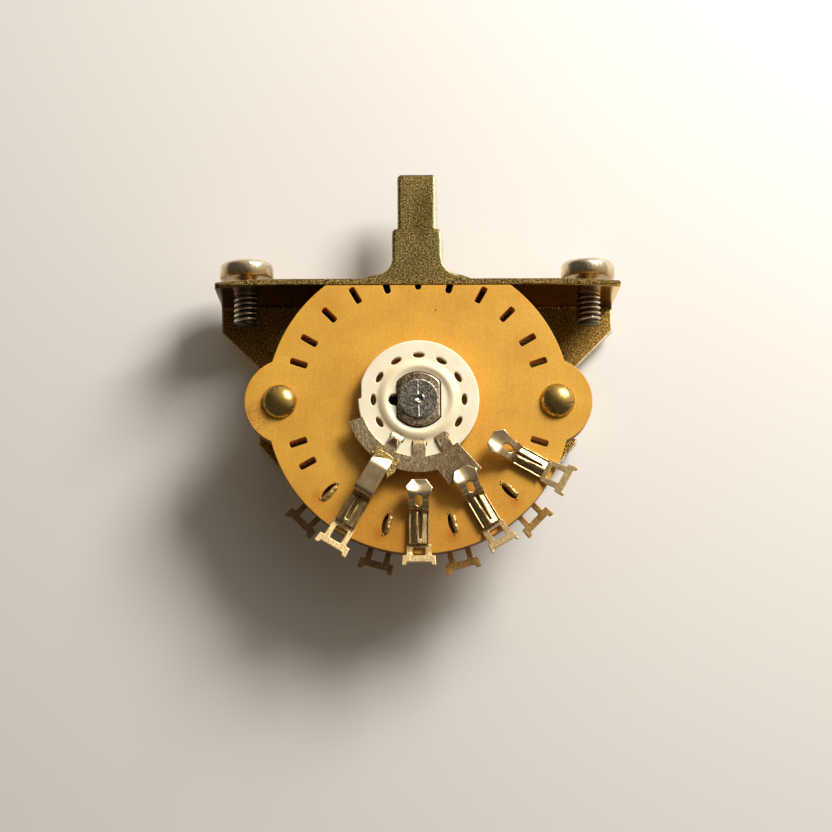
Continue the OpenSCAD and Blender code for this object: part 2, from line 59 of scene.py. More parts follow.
class Wire:
    # One output socket; arithmetic on it adds Math nodes.
    def __init__(self, owner, socket):
        self.owner, self.socket = owner, socket

    def math(self, operation, *others):
        return self.owner.node("Math", {"operation": operation}, [self, *others])

    def __rsub__(self, other):
        return self.owner.node("Math", {"operation": "SUBTRACT"}, [other, self])

    def __abs__(self):
        return self.math("ABSOLUTE")

    __add__ = __radd__ = operator("ADD")
    __mul__ = __rmul__ = operator("MULTIPLY")
    __sub__ = operator("SUBTRACT")
    __truediv__ = operator("DIVIDE")
    __pow__ = operator("POWER")

    def most(self, *others):
        # the greatest of this and the others
        top = self
        for other in others:
            top = top.math("MAXIMUM", other)
        return top

    def step(self, low, high):
        # 0 below low, 1 above high, smooth between them
        values = {"Value": self, "From Min": low, "From Max": high}
        return self.owner.node("MapRange", {"interpolation_type": "SMOOTHSTEP"}, values)


class NodeTree:
    # The nodes of one material or of the world.
    def __init__(self, tree):
        self.tree = tree

    def node(self, kind, settings=None, values=None, out=0):
        # Adds a node, sets it up, then fills its sockets with numbers or links.
        made = self.tree.nodes.new("ShaderNode" + kind)
        for key, value in (settings or {}).items():
            if key == "stops":
                ramp = made.color_ramp
                while len(ramp.elements) < len(value):
                    ramp.elements.new(0.5)
                for element, (at, colour) in zip(ramp.elements, value):
                    element.position = at
                    element.color = (*colour, 1)
            else:
                setattr(made, key, value)
        pairs = values.items() if isinstance(values, dict) else enumerate(values or [])
        for key, value in pairs:
            if isinstance(value, Wire):
                self.tree.links.new(value.socket, made.inputs[key])
            else:
                made.inputs[key].default_value = value
        return Wire(self, made.outputs[out])

    def end(self, name, shader):
        # the shader goes to the output node of that name
        self.tree.links.new(shader.socket, self.tree.nodes[name].inputs[0])


class Paint(NodeTree):
    # One material: its tree, its main shader and the object's own coordinates in millimetres.
    def __init__(self, name, **shaderValues):
        self.material = bpy.data.materials.new(name)
        self.material.use_nodes = True
        super().__init__(self.material.node_tree)
        self.shader = self.tree.nodes["Principled BSDF"]
        for key, value in shaderValues.items():
            self.shader.inputs[key.replace("_", " ")].default_value = value
        self.place = self.mapped(self.node("TexCoord", out="Object"), (1000, 1000, 1000))

    def mapped(self, vector, scale, turn=(0, 0, 0)):
        return self.node("Mapping", {}, {"Vector": vector, "Scale": scale, "Rotation": turn})

    def noise(self, scale, detail=3, roughness=0.55, at=None, distortion=0):
        values = {"Vector": at or self.place, "Scale": scale, "Detail": detail}
        return self.node("TexNoise", {}, {**values, "Roughness": roughness, "Distortion": distortion})

    def stretched(self, scale, detail, roughness, turn=(0, 0, 0)):
        # noise whose grain differs along x, y and z
        return self.noise(1.0, detail, roughness, self.mapped(self.place, scale, turn))

    def ramp(self, factor, *stops):
        return self.node("ValToRGB", {"stops": stops}, {"Fac": factor})

    def mix(self, factor, low, high, blend="MIX"):
        low, high = (c if isinstance(c, Wire) else (*c, 1) for c in (low, high))
        settings = {"data_type": "RGBA", "blend_type": blend}
        return self.node("Mix", settings, {0: factor, 6: low, 7: high}, out=2)

    def tinted(self, factor, colour, tint):
        # the colour, multiplied by the tint as far as factor says
        return self.mix(factor, colour, tint, "MULTIPLY")

    def axes(self):
        split = self.tree.nodes.new("ShaderNodeSeparateXYZ")
        self.tree.links.new(self.place.socket, split.inputs[0])
        return [Wire(self, split.outputs[k]) for k in range(3)]

    def near(self, centre, radius, soft):
        # 1 inside a ball round centre, in millimetres, and 0 outside it
        ends = {0: self.place, 1: centre}
        away = self.node("VectorMath", {"operation": "DISTANCE"}, ends, out="Value")
        return 1 - away.step(radius, radius + soft)

    def bump(self, height, distance, strength):
        values = {"Height": height, "Distance": distance * mm, "Strength": strength}
        return self.node("Bump", {}, values)

    def finish(self, **links):
        for key, wire in links.items():
            self.tree.links.new(wire.socket, self.shader.inputs[key.replace("_", " ")])
        return self.material


def longSide(x, y):
    # the long side of a right triangle, so the distance of (x, y) from the origin
    return (x * x + y * y) ** 0.5


# Outlines


def softOver(x, size=0.1):
    # 0 below zero, x above it, with a round corner of the given size
    return (x + np.sqrt(x * x + size * size)) / 2


def smooth01(x):
    # 0 below 0, 1 above 1, x squared times (3 - 2x) between them
    x = np.clip(x, 0, 1)
    return x * x * (3 - 2 * x)


def swing(degrees):
    # cosine and sine of an angle
    return math.cos(math.radians(degrees)), math.sin(math.radians(degrees))


def ray(radius, degrees):
    # the point at a distance from the middle, in the direction of an angle
    c, n = swing(degrees)
    return radius * c, radius * n


def polar(radius, degrees):
    # A closed outline whose distance from the middle is radius(angle) or a fixed one, at
    # the given angles or at every so many degrees.
    a = np.radians(degrees if np.ndim(degrees) else np.arange(0, 360, degrees))
    r = radius(a) if callable(radius) else np.full(len(a), radius)
    return np.column_stack([r * np.cos(a), r * np.sin(a)])


def flatted(radius, flat):
    # a circle with two flats: the lesser of radius and flat divided by |cos a|
    return lambda a: np.minimum(radius, flat / np.maximum(np.abs(np.cos(a)), 1e-6))


def arcPoints(centre, radius, start, end, count):
    # points on a circle from angle start to end, in degrees
    a = np.radians(np.linspace(start, end, count))
    return np.array(centre) + radius * np.column_stack([np.cos(a), np.sin(a)])


def mirrored(line):
    # a line of (s, t), then the same line back on the other side of t = 0
    return line + [(s, -t) for s, t in line[::-1]]


def dense(points, step):
    # the same closed outline, with extra points so that no side is longer than step
    p = np.asarray(points, float)
    out = []
    for a, b in zip(p, np.roll(p, -1, 0)):
        n = max(1, int(np.ceil(np.hypot(*(b - a)) / step)))
        out.append(a + (b - a) * (np.arange(n) / n)[:, None])
    return np.concatenate(out)


def stadium(centre, length, width, angle=0, count=8):
    # slot with round ends, turned by angle in degrees
    half, r = (length - width) / 2, width / 2
    ends = [arcPoints((half, 0), r, -90, 90, count), arcPoints((-half, 0), r, 90, 270, count)]
    return turned(np.concatenate(ends), angle) + np.array(centre)


def softBox(centre, length, width, corner, angle):
    # rectangle with rounded corners, turned by angle in degrees
    half, rise = length / 2 - corner, width / 2 - corner
    quarters = [
        arcPoints((x * half, z * rise), corner, start, start + 90, 5)
        for x, z, start in ((1, -1, -90), (1, 1, 0), (-1, 1, 90), (-1, -1, 180))
    ]
    return turned(np.concatenate(quarters), angle) + np.array(centre)


def turned(points, angle):
    # points turned about the origin by angle in degrees
    c, n = swing(angle)
    return points @ np.array([[c, n], [-n, c]])


def signedArea(loop):
    # half the sum of the cross products of neighbours, positive when anticlockwise
    ahead = np.roll(loop, -1, 0)
    return float(np.sum(loop[:, 0] * ahead[:, 1] - loop[:, 1] * ahead[:, 0]) / 2)


def outwards(loop):
    # for each point, the step that moves both of its sides out by one unit
    ahead = np.roll(loop, -1, 0) - loop
    ahead /= np.linalg.norm(ahead, axis=1)[:, None]
    n = np.column_stack([ahead[:, 1], -ahead[:, 0]])
    before = np.roll(n, 1, 0)
    return (n + before) / np.maximum(1 + np.sum(n * before, 1), 0.5)[:, None]


def thinned(loop, edge, support):
    # drops the points that sit closer to a sharp corner than the edge's rounding reaches
    while True:
        reach = edge(*loop.T)[:, None] if callable(edge) else edge
        shrunk = loop - outwards(loop) * reach * support
        side, short = np.roll(loop, -1, 0) - loop, np.roll(shrunk, -1, 0) - shrunk
        flipped = np.sum(side * short, 1) < 0.1 * np.sum(side * side, 1)
        if not flipped.any():
            return loop
        last = np.roll(side, 1, 0)
        bend = np.abs(side[:, 0] * last[:, 1] - side[:, 1] * last[:, 0])
        bend = bend / (np.hypot(*side.T) * np.hypot(*last.T))
        at = np.flatnonzero(flipped)
        after = (at + 1) % len(loop)
        loop = np.delete(loop, np.unique(np.where(bend[at] < bend[after], at, after)), 0)


def insideLoops(points, loops):
    # even-odd rule for all points at once
    odd = np.zeros(len(points), bool)
    for loop in loops:
        a, b = loop, np.roll(loop, -1, 0)
        for start in range(0, len(points), 4000):
            p = points[start : start + 4000]
            above = (a[:, 1] > p[:, 1:2]) != (b[:, 1] > p[:, 1:2])
            rise = np.where(b[:, 1] == a[:, 1], 1e-12, b[:, 1] - a[:, 1])
            cross = a[:, 0] + (p[:, 1:2] - a[:, 1]) * (b[:, 0] - a[:, 0]) / rise
            odd[start : start + 4000] ^= (above & (p[:, 0:1] < cross)).sum(1) % 2 == 1
    return odd


def gridInside(loops, stepU, stepV, margin, window=None):
    # grid points inside the outline that keep away from its edges
    rim = np.concatenate(loops)
    low, high = rim.min(0), rim.max(0)
    if window:
        low, high = np.maximum(low, window[0]), np.minimum(high, window[1])
    u, v = np.arange(low[0], high[0], stepU), np.arange(low[1], high[1], stepV)
    grid = np.stack(np.meshgrid(u, v), -1).reshape(-1, 2)
    grid = grid[insideLoops(grid, loops)]
    keep = [
        np.min(np.sum((grid[k : k + 2000, None] - rim[None]) ** 2, 2), 1) > margin**2
        for k in range(0, len(grid), 2000)
    ]
    return grid[np.concatenate(keep)]


# Meshes


def meshOf(points, faces):
    # mesh in millimetres, closed and facing outwards
    mesh = bpy.data.meshes.new("part")
    mesh.from_pydata((points * mm).tolist(), [], faces)
    work = bmesh.new()
    work.from_mesh(mesh)
    bmesh.ops.remove_doubles(work, verts=work.verts, dist=2e-7)
    bmesh.ops.dissolve_degenerate(work, edges=work.edges, dist=1e-7)
    if work.calc_volume(signed=True) < 0:
        bmesh.ops.reverse_faces(work, faces=work.faces)
    work.to_mesh(mesh)
    work.free()
    mesh.shade_smooth()
    return mesh


def level(height):
    # a height over (u, v), also where it is one number
    return height if callable(height) else lambda u, v: np.full(len(u), float(height))


def plate(outer, holes, front, back, place, edge=0.06, inner=None, segments=3, support=1.7):
    # A sheet with rounded edges. Its outline steps in by edge times (1 - sin a) while it
    # rises by edge times (1 - cos a); heights come from front and back, and place carries
    # (u, v, height) into the frame.
    loops = [np.asarray(loop, float) for loop in (outer, *holes)]
    loops = [l if (signedArea(l) > 0) == (k == 0) else l[::-1] for k, l in enumerate(loops)]
    loops = [thinned(l, edge, support) for l in loops]
    rim, push = np.concatenate(loops), np.concatenate([outwards(l) for l in loops])
    counts = [len(l) for l in loops]
    starts = np.concatenate([[0], np.cumsum(counts)[:-1]])
    follow = np.concatenate([s + np.roll(np.arange(n), -1) for s, n in zip(starts, counts)])
    a = np.linspace(0, math.pi / 2, segments + 1)
    edge = edge(*rim.T)[:, None] if callable(edge) else np.full((len(rim), 1), edge)
    inset = np.concatenate([edge * support, edge * (1 - np.sin(a)), 0 * edge], 1).T[:, :, None]
    depth = np.concatenate([0 * edge, edge * (1 - np.cos(a)), edge * 1.35], 1).T
    top, low = level(front), level(back)
    # the flat part: a triangulation between the outline, its holes and the inner points
    inner = np.zeros((0, 2)) if inner is None else inner
    flat = np.concatenate([rim - push * inset[0], inner])
    areas = [list(range(q, q + n)) for q, n in zip(starts.tolist(), counts)]
    areas = areas[:1] + [hole[::-1] for hole in areas[1:]]
    found = delaunay_2d_cdt([Vector(p) for p in flat], [], areas, 1, 1e-7)
    source = [o[0] if o else -1 for o in found[3]]
    tris = [[source[i] for i in f] for f, area in zip(found[2], found[5]) if area == [0]]
    tris = np.array(tris)
    tris = tris[(tris >= 0).all(1)]
    layers, n, g = [], len(rim), len(inner)
    for i, d in zip(inset, depth):
        p = rim - push * i
        layers.append(np.column_stack([p, top(*p.T) - d]))
    for i, d in zip(inset[::-1], depth[::-1]):
        p = rim - push * i
        layers.append(np.column_stack([p, low(*p.T) + d]))
    around, count = np.arange(n), len(layers) * n
    k = np.arange(len(layers) - 1)[:, None] * n
    quads = np.stack([k + around, k + n + around, k + n + follow, k + follow], -1).reshape(-1, 4)
    points = layers + [np.column_stack([inner, side(*inner.T)]) for side in (top, low)]
    frontIndex = np.concatenate([around, count + np.arange(g)])
    backIndex = np.concatenate([count - n + around, count + g + np.arange(g)])
    faces = quads.tolist() + frontIndex[tris].tolist() + backIndex[tris[:, ::-1]].tolist()
    return meshOf(np.column_stack(place(*np.concatenate(points).T)), faces)


def lathe(profile, place, count=96, shape=None):
    # A turned part: each (radius, along) of the profile carried round a full turn. shape
    # may change (radius, along, angle) first. place carries (radius, along, angle) on.
    profile = np.asarray(profile, float)
    a = np.linspace(0, 2 * math.pi, count, endpoint=False)
    r, a = np.meshgrid(profile[:, 0], a, indexing="ij")
    s = np.repeat(profile[:, 1:2], count, 1)
    if shape:
        r, s = shape(r, s, a)
    points = np.column_stack(place(r.ravel(), s.ravel(), a.ravel()))
    i, j = np.arange(len(profile) - 1)[:, None] * count, np.arange(count)
    k = (j + 1) % count
    quads = np.stack([i + j, i + k, i + count + k, i + count + j], -1).reshape(-1, 4)
    return meshOf(points, quads.tolist())


def rounded(corners, radius, count=5):
    # An open profile whose inner corners are rounded off, each from its own distance before
    # to after it: (1-t)^2 before + 2t(1-t) corner + t^2 after.
    out = [np.array(corners[0], float)]
    for before, at, after, r in zip(corners, corners[1:], corners[2:], radius):
        before, at, after = (np.array(p, float) for p in (before, at, after))
        u, w = before - at, after - at
        u, w = u / np.linalg.norm(u), w / np.linalg.norm(w)
        t = np.linspace(0, 1, count)[:, None]
        out += list((1 - t) ** 2 * (at + u * r) + 2 * t * (1 - t) * at + t**2 * (at + w * r))
    out.append(np.array(corners[-1], float))
    return np.array(out)


def joined(*meshes):
    # several closed shells as one mesh
    work = bmesh.new()
    for mesh in meshes:
        work.from_mesh(mesh)
        bpy.data.meshes.remove(mesh)
    mesh = bpy.data.meshes.new("part")
    work.to_mesh(mesh)
    work.free()
    mesh.shade_smooth()
    return mesh


def placed(name, data):
    obj = bpy.data.objects.new(name, data)
    bpy.context.scene.collection.objects.link(obj)
    return obj


bodyNodes = frame["record"]["behaviour"]["bodies"]


def piece(name, mesh, slotName, *nodes):
    # a new piece in place of CAD nodes, on their body and in the finish of its slot
    obj = placed(name, mesh)
    mesh.name = name
    mesh.materials.append(paints[slotName])
    body = next(b for b, members in bodyNodes.items() if nodes[0] in members)
    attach(obj, body)
    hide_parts(*nodes)
    return obj


def onWafer(u, v, h):
    # flat on the wafer's face: u to the right, v up from the shaft, h towards the viewer
    return u, waferFront - h, axisZ + v


def alongY(x, z):
    # a turned part on a line along Y; its profile's second number is y
    return lambda r, y, a: (x + r * np.cos(a), y, z + r * np.sin(a))


# Materials

zincLook = {
    "grainPerMm": 5.0,
    "dark": (0.035, 0.022, 0.005),
    "middle": (0.17, 0.11, 0.027),
    "light": (0.86, 0.64, 0.24),
}


def bladeWearAndHighlight(p):
    # the blade's long edges and the hollow corners at its foot are worn pale and carry a painted
    # highlight
    x, y, z = p.axes()
    off = abs(x)
    upper, straight = z.step(7.4, 7.7), z.step(3.8, 4.1)
    flank = off - 2.1 * upper - 2.8 * (1 - upper)
    hollow = 2.25 - longSide(off - 5.0, z - 3.95)
    near = flank * straight + hollow * (1 - straight)
    # a wider and softer painted highlight on the right
    right = x.step(0, 1) * straight
    return ((near + right * 0.3) / (0.3 + right * 0.32)).step(0.0, 1.0) * z.step(0.2, 0.9)


def bladeShade(p):
    # darker cloud on the upper blade, right of its middle
    x, y, z = p.axes()
    away = ((x - 0.7) / 1.5) ** 2 + ((z - 9.0) / 3.6) ** 2
    return 1 - away.step(0.2, 1.2)


def legRimHighlight(p):
    # painted highlight: a thin bright rim on the leg, from the distance to its uprights and to its two
    # slanting edges
    x, y, z = p.axes()
    off = abs(x)
    outer = off - 24.05 - 9 * (1 - z.step(-4.2, -4.1) * (1 - z.step(-1.2, -1.0)))
    upright = off - 19.4 - 9 * (1 - z.step(-18.6, -18.0) * (1 - z.step(-9.2, -8.6)))
    lower = (off - 19.4) * 0.757 - (z + 18) * 0.653
    top = (off - 24.05) * 0.707 - (z + 3.95) * 0.707 - 9 * (1 - z.step(-9.0, -8.6))
    return upright.most(lower, top, outer).step(-0.26, -0.14) * y.step(4.8, 5.2) * 0.85


def flangeUnder(p):
    # the flange's underside is smooth and carries a painted golden reflection
    x, y, z = p.axes()
    return (1 - z.step(-0.76, -0.66)) * (1 - y.step(4.4, 5.0)) * z.step(-2.0, -1.6)


def zincPaint(name, roughness, tint, wearAndHighlight, smoothWithSheen=None, shade=None):
    # plated zinc with a dark grain; three masks over the piece give worn edges with a painted highlight,
    # a smooth underside with a painted golden reflection, and a painted shade
    p = Paint(name, Metallic=1.0)
    x, y, z = p.axes()
    scale = zincLook["grainPerMm"]
    grain = p.noise(scale, 4, 0.75)
    fine = p.noise(scale * 2.7, 2, 0.6)
    cloud = p.noise(0.35, 3, 0.5)
    # more contrast on the flange's front edge, which is also painted darker as shade
    front = 1 - y.step(-6.3, -6.15)
    mixed = (grain * 0.62 + fine * 0.38 - 0.5) * (1 + front * 1.2) + 0.5
    stops = [tuple(c * t for c, t in zip(zincLook[k], tint)) for k in ("dark", "middle", "light")]
    colour = p.ramp(mixed, *zip((0.41, 0.5, 0.6), stops))
    tone = p.ramp(cloud, (0.3, (0.8, 0.78, 0.7)), (0.7, (1.08, 1.04, 1.0)))
    colour = p.tinted(front, p.tinted(1.0, colour, tone), (0.46, 0.52, 0.66))
    if shade:
        colour = p.tinted(shade(p) * 0.7, colour, (0.6, 0.56, 0.42))
    # the pale rim's colour is paler towards the right: a painted highlight
    rim = p.ramp(x * 0.1 + 0.5, (0.45, (0.78, 0.7, 0.46)), (0.6, (0.96, 0.88, 0.64)))
    # the mask of worn edges and of painted highlights along them
    toneShift = wearAndHighlight(p)
    toneShift = toneShift * (0.45 + mixed * 0.6) + (mixed - 0.5) * 3 * toneShift * (1 - toneShift)
    colour = p.mix(toneShift, colour, rim)
    rough, height = roughness + (mixed - 0.5) * 0.4, mixed
    if smoothWithSheen:
        even = smoothWithSheen(p)
        # painted golden reflection under the flange, brightest towards the right
        goldenReflection = p.ramp(
            x * 0.02 + 0.5,
            (0.2, (0.3, 0.16, 0.06)),
            (0.72, (0.5, 0.29, 0.08)),
            (0.92, (1.0, 0.58, 0.13)),
        )
        colour = p.mix(even * 0.8, colour, goldenReflection)
        rough, height = rough - even * 0.2, mixed * (1 - even * 0.85)
    return p.finish(Base_Color=colour, Roughness=rough, Normal=p.bump(height, 0.07, 1.0))


def phenolicPaint():
    p = Paint("phenolicBoard", Specular_IOR_Level=0.42)
    x, y, z = p.axes()
    weave = p.stretched((7.5, 4.0, 3.4), 2, 0.5)
    mottle = p.noise(0.16, 3, 0.5)
    speck = p.noise(6.5, 2, 0.6)
    base = p.ramp(
        mottle * 0.75 + weave * 0.25,
        (0.3, (0.62, 0.302, 0.03)),
        (0.52, (0.72, 0.378, 0.042)),
        (0.75, (0.8, 0.452, 0.056)),
    )
    fleck = p.ramp(speck, (0.3, (0.82, 0.75, 0.66)), (0.5, (1, 1, 1)), (0.7, (1.12, 1.12, 1.15)))
    base = p.tinted(0.6, base, fleck)
    # faint threads of the cloth in the board
    threads = p.stretched((10.0, 1.0, 0.4), 1, 0.5) * 0.65 + p.stretched((0.4, 1.0, 10.0), 1, 0.5) * 0.35
    cloth = p.ramp(threads, (0.4, (0.965, 0.955, 0.94)), (0.6, (1.03, 1.03, 1.035)))
    base = p.tinted(1.0, base, cloth)
    # painted shade: darker towards the lower edge
    low = 1 - z.step(axisZ - 17.5, axisZ - 6)
    base = p.tinted(low * 0.8, base, (0.81, 0.67, 0.52))
    # brown dirt in scratches at the lower left of the left rivet
    web = p.noise(1.5, 4, 0.65, distortion=1.6)
    lines = 1 - abs(web - 0.5).step(0.008, 0.04)
    dirt = lines * p.near((-18.9, waferFront, axisZ - 1.7), 1.1, 1.0)
    base = p.mix(dirt * 0.75, base, (0.2, 0.06, 0.012))
    spot = p.near((2.05, waferFront, axisZ + 11.05), 0.07, 0.1)
    base = p.mix(spot * 0.8, base, (0.16, 0.06, 0.015))
    # orange scorch marks below the feet of the back terminals
    for foot in (-46.5, -76.5, -106.5, -136.5):
        right, up = ray(16.2, foot)
        mark = p.near((right, waferFront, axisZ + up), 0.2, 1.0) * (0.4 + speck)
        base = p.tinted(mark * 0.8, base, (0.88, 0.6, 0.33))
    # the punched edges are raw brown board; the slot walls and the other walls inside the outer rim are
    # a brighter orange, painted light
    wall = 1 - y.step(waferFront + 0.03, waferFront + 0.09)
    raw = 1 - wall.most(y.step(waferBack - 0.09, waferBack - 0.03))
    layers = p.stretched((0.6, 14, 0.6), 2, 0.5)
    edge = p.ramp(layers, (0.3, (0.13, 0.045, 0.012)), (0.7, (0.27, 0.105, 0.028)))
    # painted light: the walls inside the outer rim are a brighter orange than the outer rim
    rim = longSide(x, z - axisZ).step(16.2, 17.0)
    edge = p.mix(rim, (0.62, 0.27, 0.05), edge)
    return p.finish(
        Base_Color=p.mix(raw, base, edge),
        Roughness=0.42 + mottle * 0.12 + raw * 0.2 + dirt * 0.2,
        Normal=p.bump(weave * 0.5 + speck * 0.5, 0.012, 0.55),
    )


def nylonPaint():
    glow = {"Subsurface_Weight": 0.35, "Subsurface_Scale": 0.0006, "Subsurface_Radius": (1.0, 0.7, 0.4)}
    p = Paint("creamNylon", Specular_IOR_Level=0.45, **glow)
    mottle = p.noise(0.5, 3, 0.5)
    fine = p.noise(6.0, 2, 0.5)
    x, y, z = p.axes()
    away = longSide(x, z - axisZ)
    colour = p.ramp(mottle, (0.3, (0.92, 0.82, 0.59)), (0.7, (0.96, 0.9, 0.74)))
    # yellow beside the ridge, a painted warm tint of the ridge's shade together with the nylon's own
    # yellowing; painted shade, brown, deep in the holes and behind the face
    stained = (1 - abs(away - 4.5).step(0.5, 1.0)) * mottle.step(0.3, 0.6)
    colour = p.mix(stained * 0.6, colour, (0.93, 0.75, 0.42))
    depthShade = y.step(waferFront - rotorFace + 0.05, waferFront - 0.6)
    colour = p.mix(depthShade * 0.85, colour, (0.5, 0.25, 0.055))
    # painted shade, nearly black, in the gap round the shaft
    gapShade = 1 - (abs(x) - 2.52).most(away - 3.24).step(0.06, 0.13)
    return p.finish(
        Base_Color=p.mix(gapShade, colour, (0.012, 0.008, 0.004)),
        Roughness=0.42 + fine * 0.12,
        Normal=p.bump(mottle * 0.8 + fine * 0.2, 0.02, 0.4),
    )


def contactPaint():
    p = Paint("contactSheet", Metallic=1.0)
    # scratches in two directions
    one = p.stretched((12, 12, 2.8), 2, 0.7, (0, 0.75, 0))
    two = p.stretched((12, 12, 2.8), 2, 0.7, (0, -0.7, 0))
    mixed = one * 0.3 + two * 0.3 + p.noise(9.5, 2, 0.7) * 0.4
    colour = p.ramp(
        mixed,
        (0.38, (0.24, 0.155, 0.07)),
        (0.49, (0.54, 0.39, 0.22)),
        (0.61, (1.0, 0.82, 0.54)),
    )
    # painted shade: darker towards the right, except near the outer end of the wide part
    toneShift = p.axes()[0].step(-0.5, 4.5) * (1 - p.near((6.6, waferFront - 2, axisZ - 9), 0.2, 1.5))
    return p.finish(
        Base_Color=p.tinted(toneShift, colour, (0.66, 0.62, 0.56)),
        Roughness=0.36 + (mixed - 0.5) * 0.6,
        Normal=p.bump(mixed, 0.022, 0.8),
    )


def terminalPaint():
    p = Paint("silverTerminal")
    x, y, z = p.axes()
    high = z - axisZ
    away = longSide(x, high)
    # streaks that run away from the shaft, along each terminal
    around = p.node("CombineXYZ", {}, [high.math("ARCTAN2", x) * 80, away * 0.8, y * 3])
    streaks = p.noise(1.0, 3, 0.65, at=around)
    grain = p.noise(9.0, 2, 0.7)
    cloud = p.noise(0.9, 3, 0.6)
    tarnish = p.noise(2.1, 3, 0.65).step(0.5, 0.7)
    body = away.step(12.2, 12.8)
    colour = p.ramp(cloud, (0.3, (0.74, 0.55, 0.29)), (0.7, (0.96, 0.8, 0.52)))
    colour = p.mix(tarnish * 0.55, colour, (0.42, 0.24, 0.06))
    dark = streaks.step(0.6, 0.42) * body
    colour = p.mix(dark * 0.62, colour, (0.2, 0.125, 0.04))
    colour = p.tinted(body, colour, (0.94, 0.87, 0.73))
    colour = p.mix(grain.step(0.5, 0.38) * body * 0.6, colour, (0.24, 0.16, 0.06))
    # the lugs are tinned: rough, peach coloured, with a bright grain
    lug = away.step(16.75, 17.1)
    tinned = p.ramp(
        grain * 0.7 + streaks * 0.3,
        (0.36, (0.34, 0.205, 0.07)),
        (0.5, (0.63, 0.45, 0.205)),
        (0.64, (0.93, 0.77, 0.47)),
    )
    # those behind the board carry painted light and shade: dark on the left, brightest just right of the
    # middle
    side = p.ramp(
        x * 0.05 + 0.5,
        (0.3, (0.42, 0.37, 0.3)),
        (0.48, (0.55, 0.46, 0.36)),
        (0.58, (1.2, 0.82, 0.52)),
        (0.8, (0.95, 0.76, 0.46)),
    )
    tinned = p.tinted(y.step(waferBack - 0.2, waferBack), tinned, side)
    mixed = streaks * 0.6 + grain * 0.4
    return p.finish(
        Base_Color=p.mix(lug, colour, tinned),
        Metallic=1 - lug * 0.4,
        Roughness=0.2 + mixed * 0.18 + tarnish * 0.1 + body * 0.06 + lug * 0.04,
        Normal=p.bump(mixed * (1 + body * 0.7), 0.03, 0.35),
    )


def brassPaint(name, stained, roughness=0.2, metallic=1.0):
    p = Paint(name, Metallic=metallic)
    grain = p.noise(3.4, 4, 0.7)
    cloud = p.noise(0.9, 2, 0.5)
    colour = p.ramp(cloud, (0.3, (0.55, 0.37, 0.1)), (0.7, (0.76, 0.54, 0.19)))
    specks = p.noise(5.5, 3, 0.75).step(0.52, 0.6) * cloud.step(0.4, 0.56)
    spots = (grain * 0.6 + cloud * 0.4).step(0.5, 0.6).most(specks * 0.9) * stained
    return p.finish(
        Base_Color=p.mix(spots * 0.85, colour, (0.06, 0.045, 0.018)),
        Roughness=roughness + spots * 0.22 + grain * 0.08,
        Normal=p.bump(grain, 0.02, 0.35),
    )


def nickelPaint():
    p = Paint("nickelScrew", Metallic=1.0)
    x, y, z = p.axes()
    brushed = p.stretched((7, 7, 1.4), 3, 0.6)
    cloud = p.noise(0.8, 3, 0.5)
    colour = p.ramp(cloud, (0.3, (0.66, 0.55, 0.38)), (0.7, (0.94, 0.86, 0.68)))
    colour = p.mix(brushed.step(0.54, 0.4) * 0.4, colour, (0.36, 0.26, 0.13))
    dirt = p.noise(2.6, 3, 0.6).step(0.55, 0.72)
    colour = p.mix(dirt * 0.5, colour, (0.16, 0.1, 0.04))
    # the lower wall of the head carries a painted golden reflection
    low = (1 - z.step(1.7, 2.5)) * z.step(1.2, 1.3)
    colour = p.mix(low * 0.65, colour, (0.58, 0.39, 0.13))
    # the valleys of the thread below the flange are nearly black
    off = abs(x) - screwX
    valley = 1 - longSide(off, y).step(1.24, 1.4)
    darkValleys = valley * (1 - z.step(-0.8, -0.7)) * (1 - abs(off).step(2, 3))
    colour = p.mix(darkValleys * 0.9, colour, (0.05, 0.028, 0.01))
    return p.finish(
        Base_Color=colour,
        Roughness=0.13 + brushed * 0.16 + dirt * 0.15 + darkValleys * 0.3,
        Normal=p.bump(brushed, 0.03, 0.7),
    )


def shaftPaint():
    p = Paint("darkSteelShaft", Metallic=1.0)
    x, y, z = p.axes()
    grain = p.noise(6.5, 3, 0.7)
    steel = p.ramp(
        grain,
        (0.38, (0.13, 0.117, 0.092)),
        (0.51, (0.32, 0.295, 0.24)),
        (0.64, (0.8, 0.74, 0.62)),
    )
    bevel = y.step(-8.86, -8.8)
    # the bevel is tan, paler towards the right: a painted highlight
    tan = p.ramp(
        p.noise(3.4, 3, 0.7) + x * 0.045,
        (0.35, (0.15, 0.11, 0.065)),
        (0.55, (0.6, 0.48, 0.33)),
        (0.7, (1.0, 0.86, 0.64)),
    )
    colour = p.mix(bevel, steel, tan)
    # bright scribed line and a bluish spot on the nose
    high = z - axisZ
    away = longSide(x, high)
    line = 1 - abs(x + high * 0.03).step(0.02, 0.08)
    line = line * away.step(0.5, 0.6) * (1 - bevel) * grain.step(0.36, 0.5)
    colour = p.mix(line * 0.8, colour, (0.95, 0.94, 0.9))
    blue = p.near((0.1, -9.0, axisZ + 0.15), 0.16, 0.16)
    rim = away.step(2.1, 2.2) * (1 - bevel)
    return p.finish(
        Base_Color=p.mix(blue * 0.7, colour, (0.2, 0.34, 0.5)),
        Roughness=0.3 + (grain - 0.5) * 0.4 + line * 0.2 + rim * 0.2,
        Normal=p.bump(grain, 0.02, 0.5),
    )


def springPaint():
    p = Paint("springSteel", Metallic=1.0)
    brushed = p.stretched((1.2, 6, 6), 3, 0.6)
    return p.finish(
        Base_Color=p.ramp(brushed, (0.35, (0.24, 0.24, 0.25)), (0.65, (0.44, 0.44, 0.45))),
        Roughness=0.3 + brushed * 0.2,
        Normal=p.bump(brushed, 0.01, 0.4),
    )


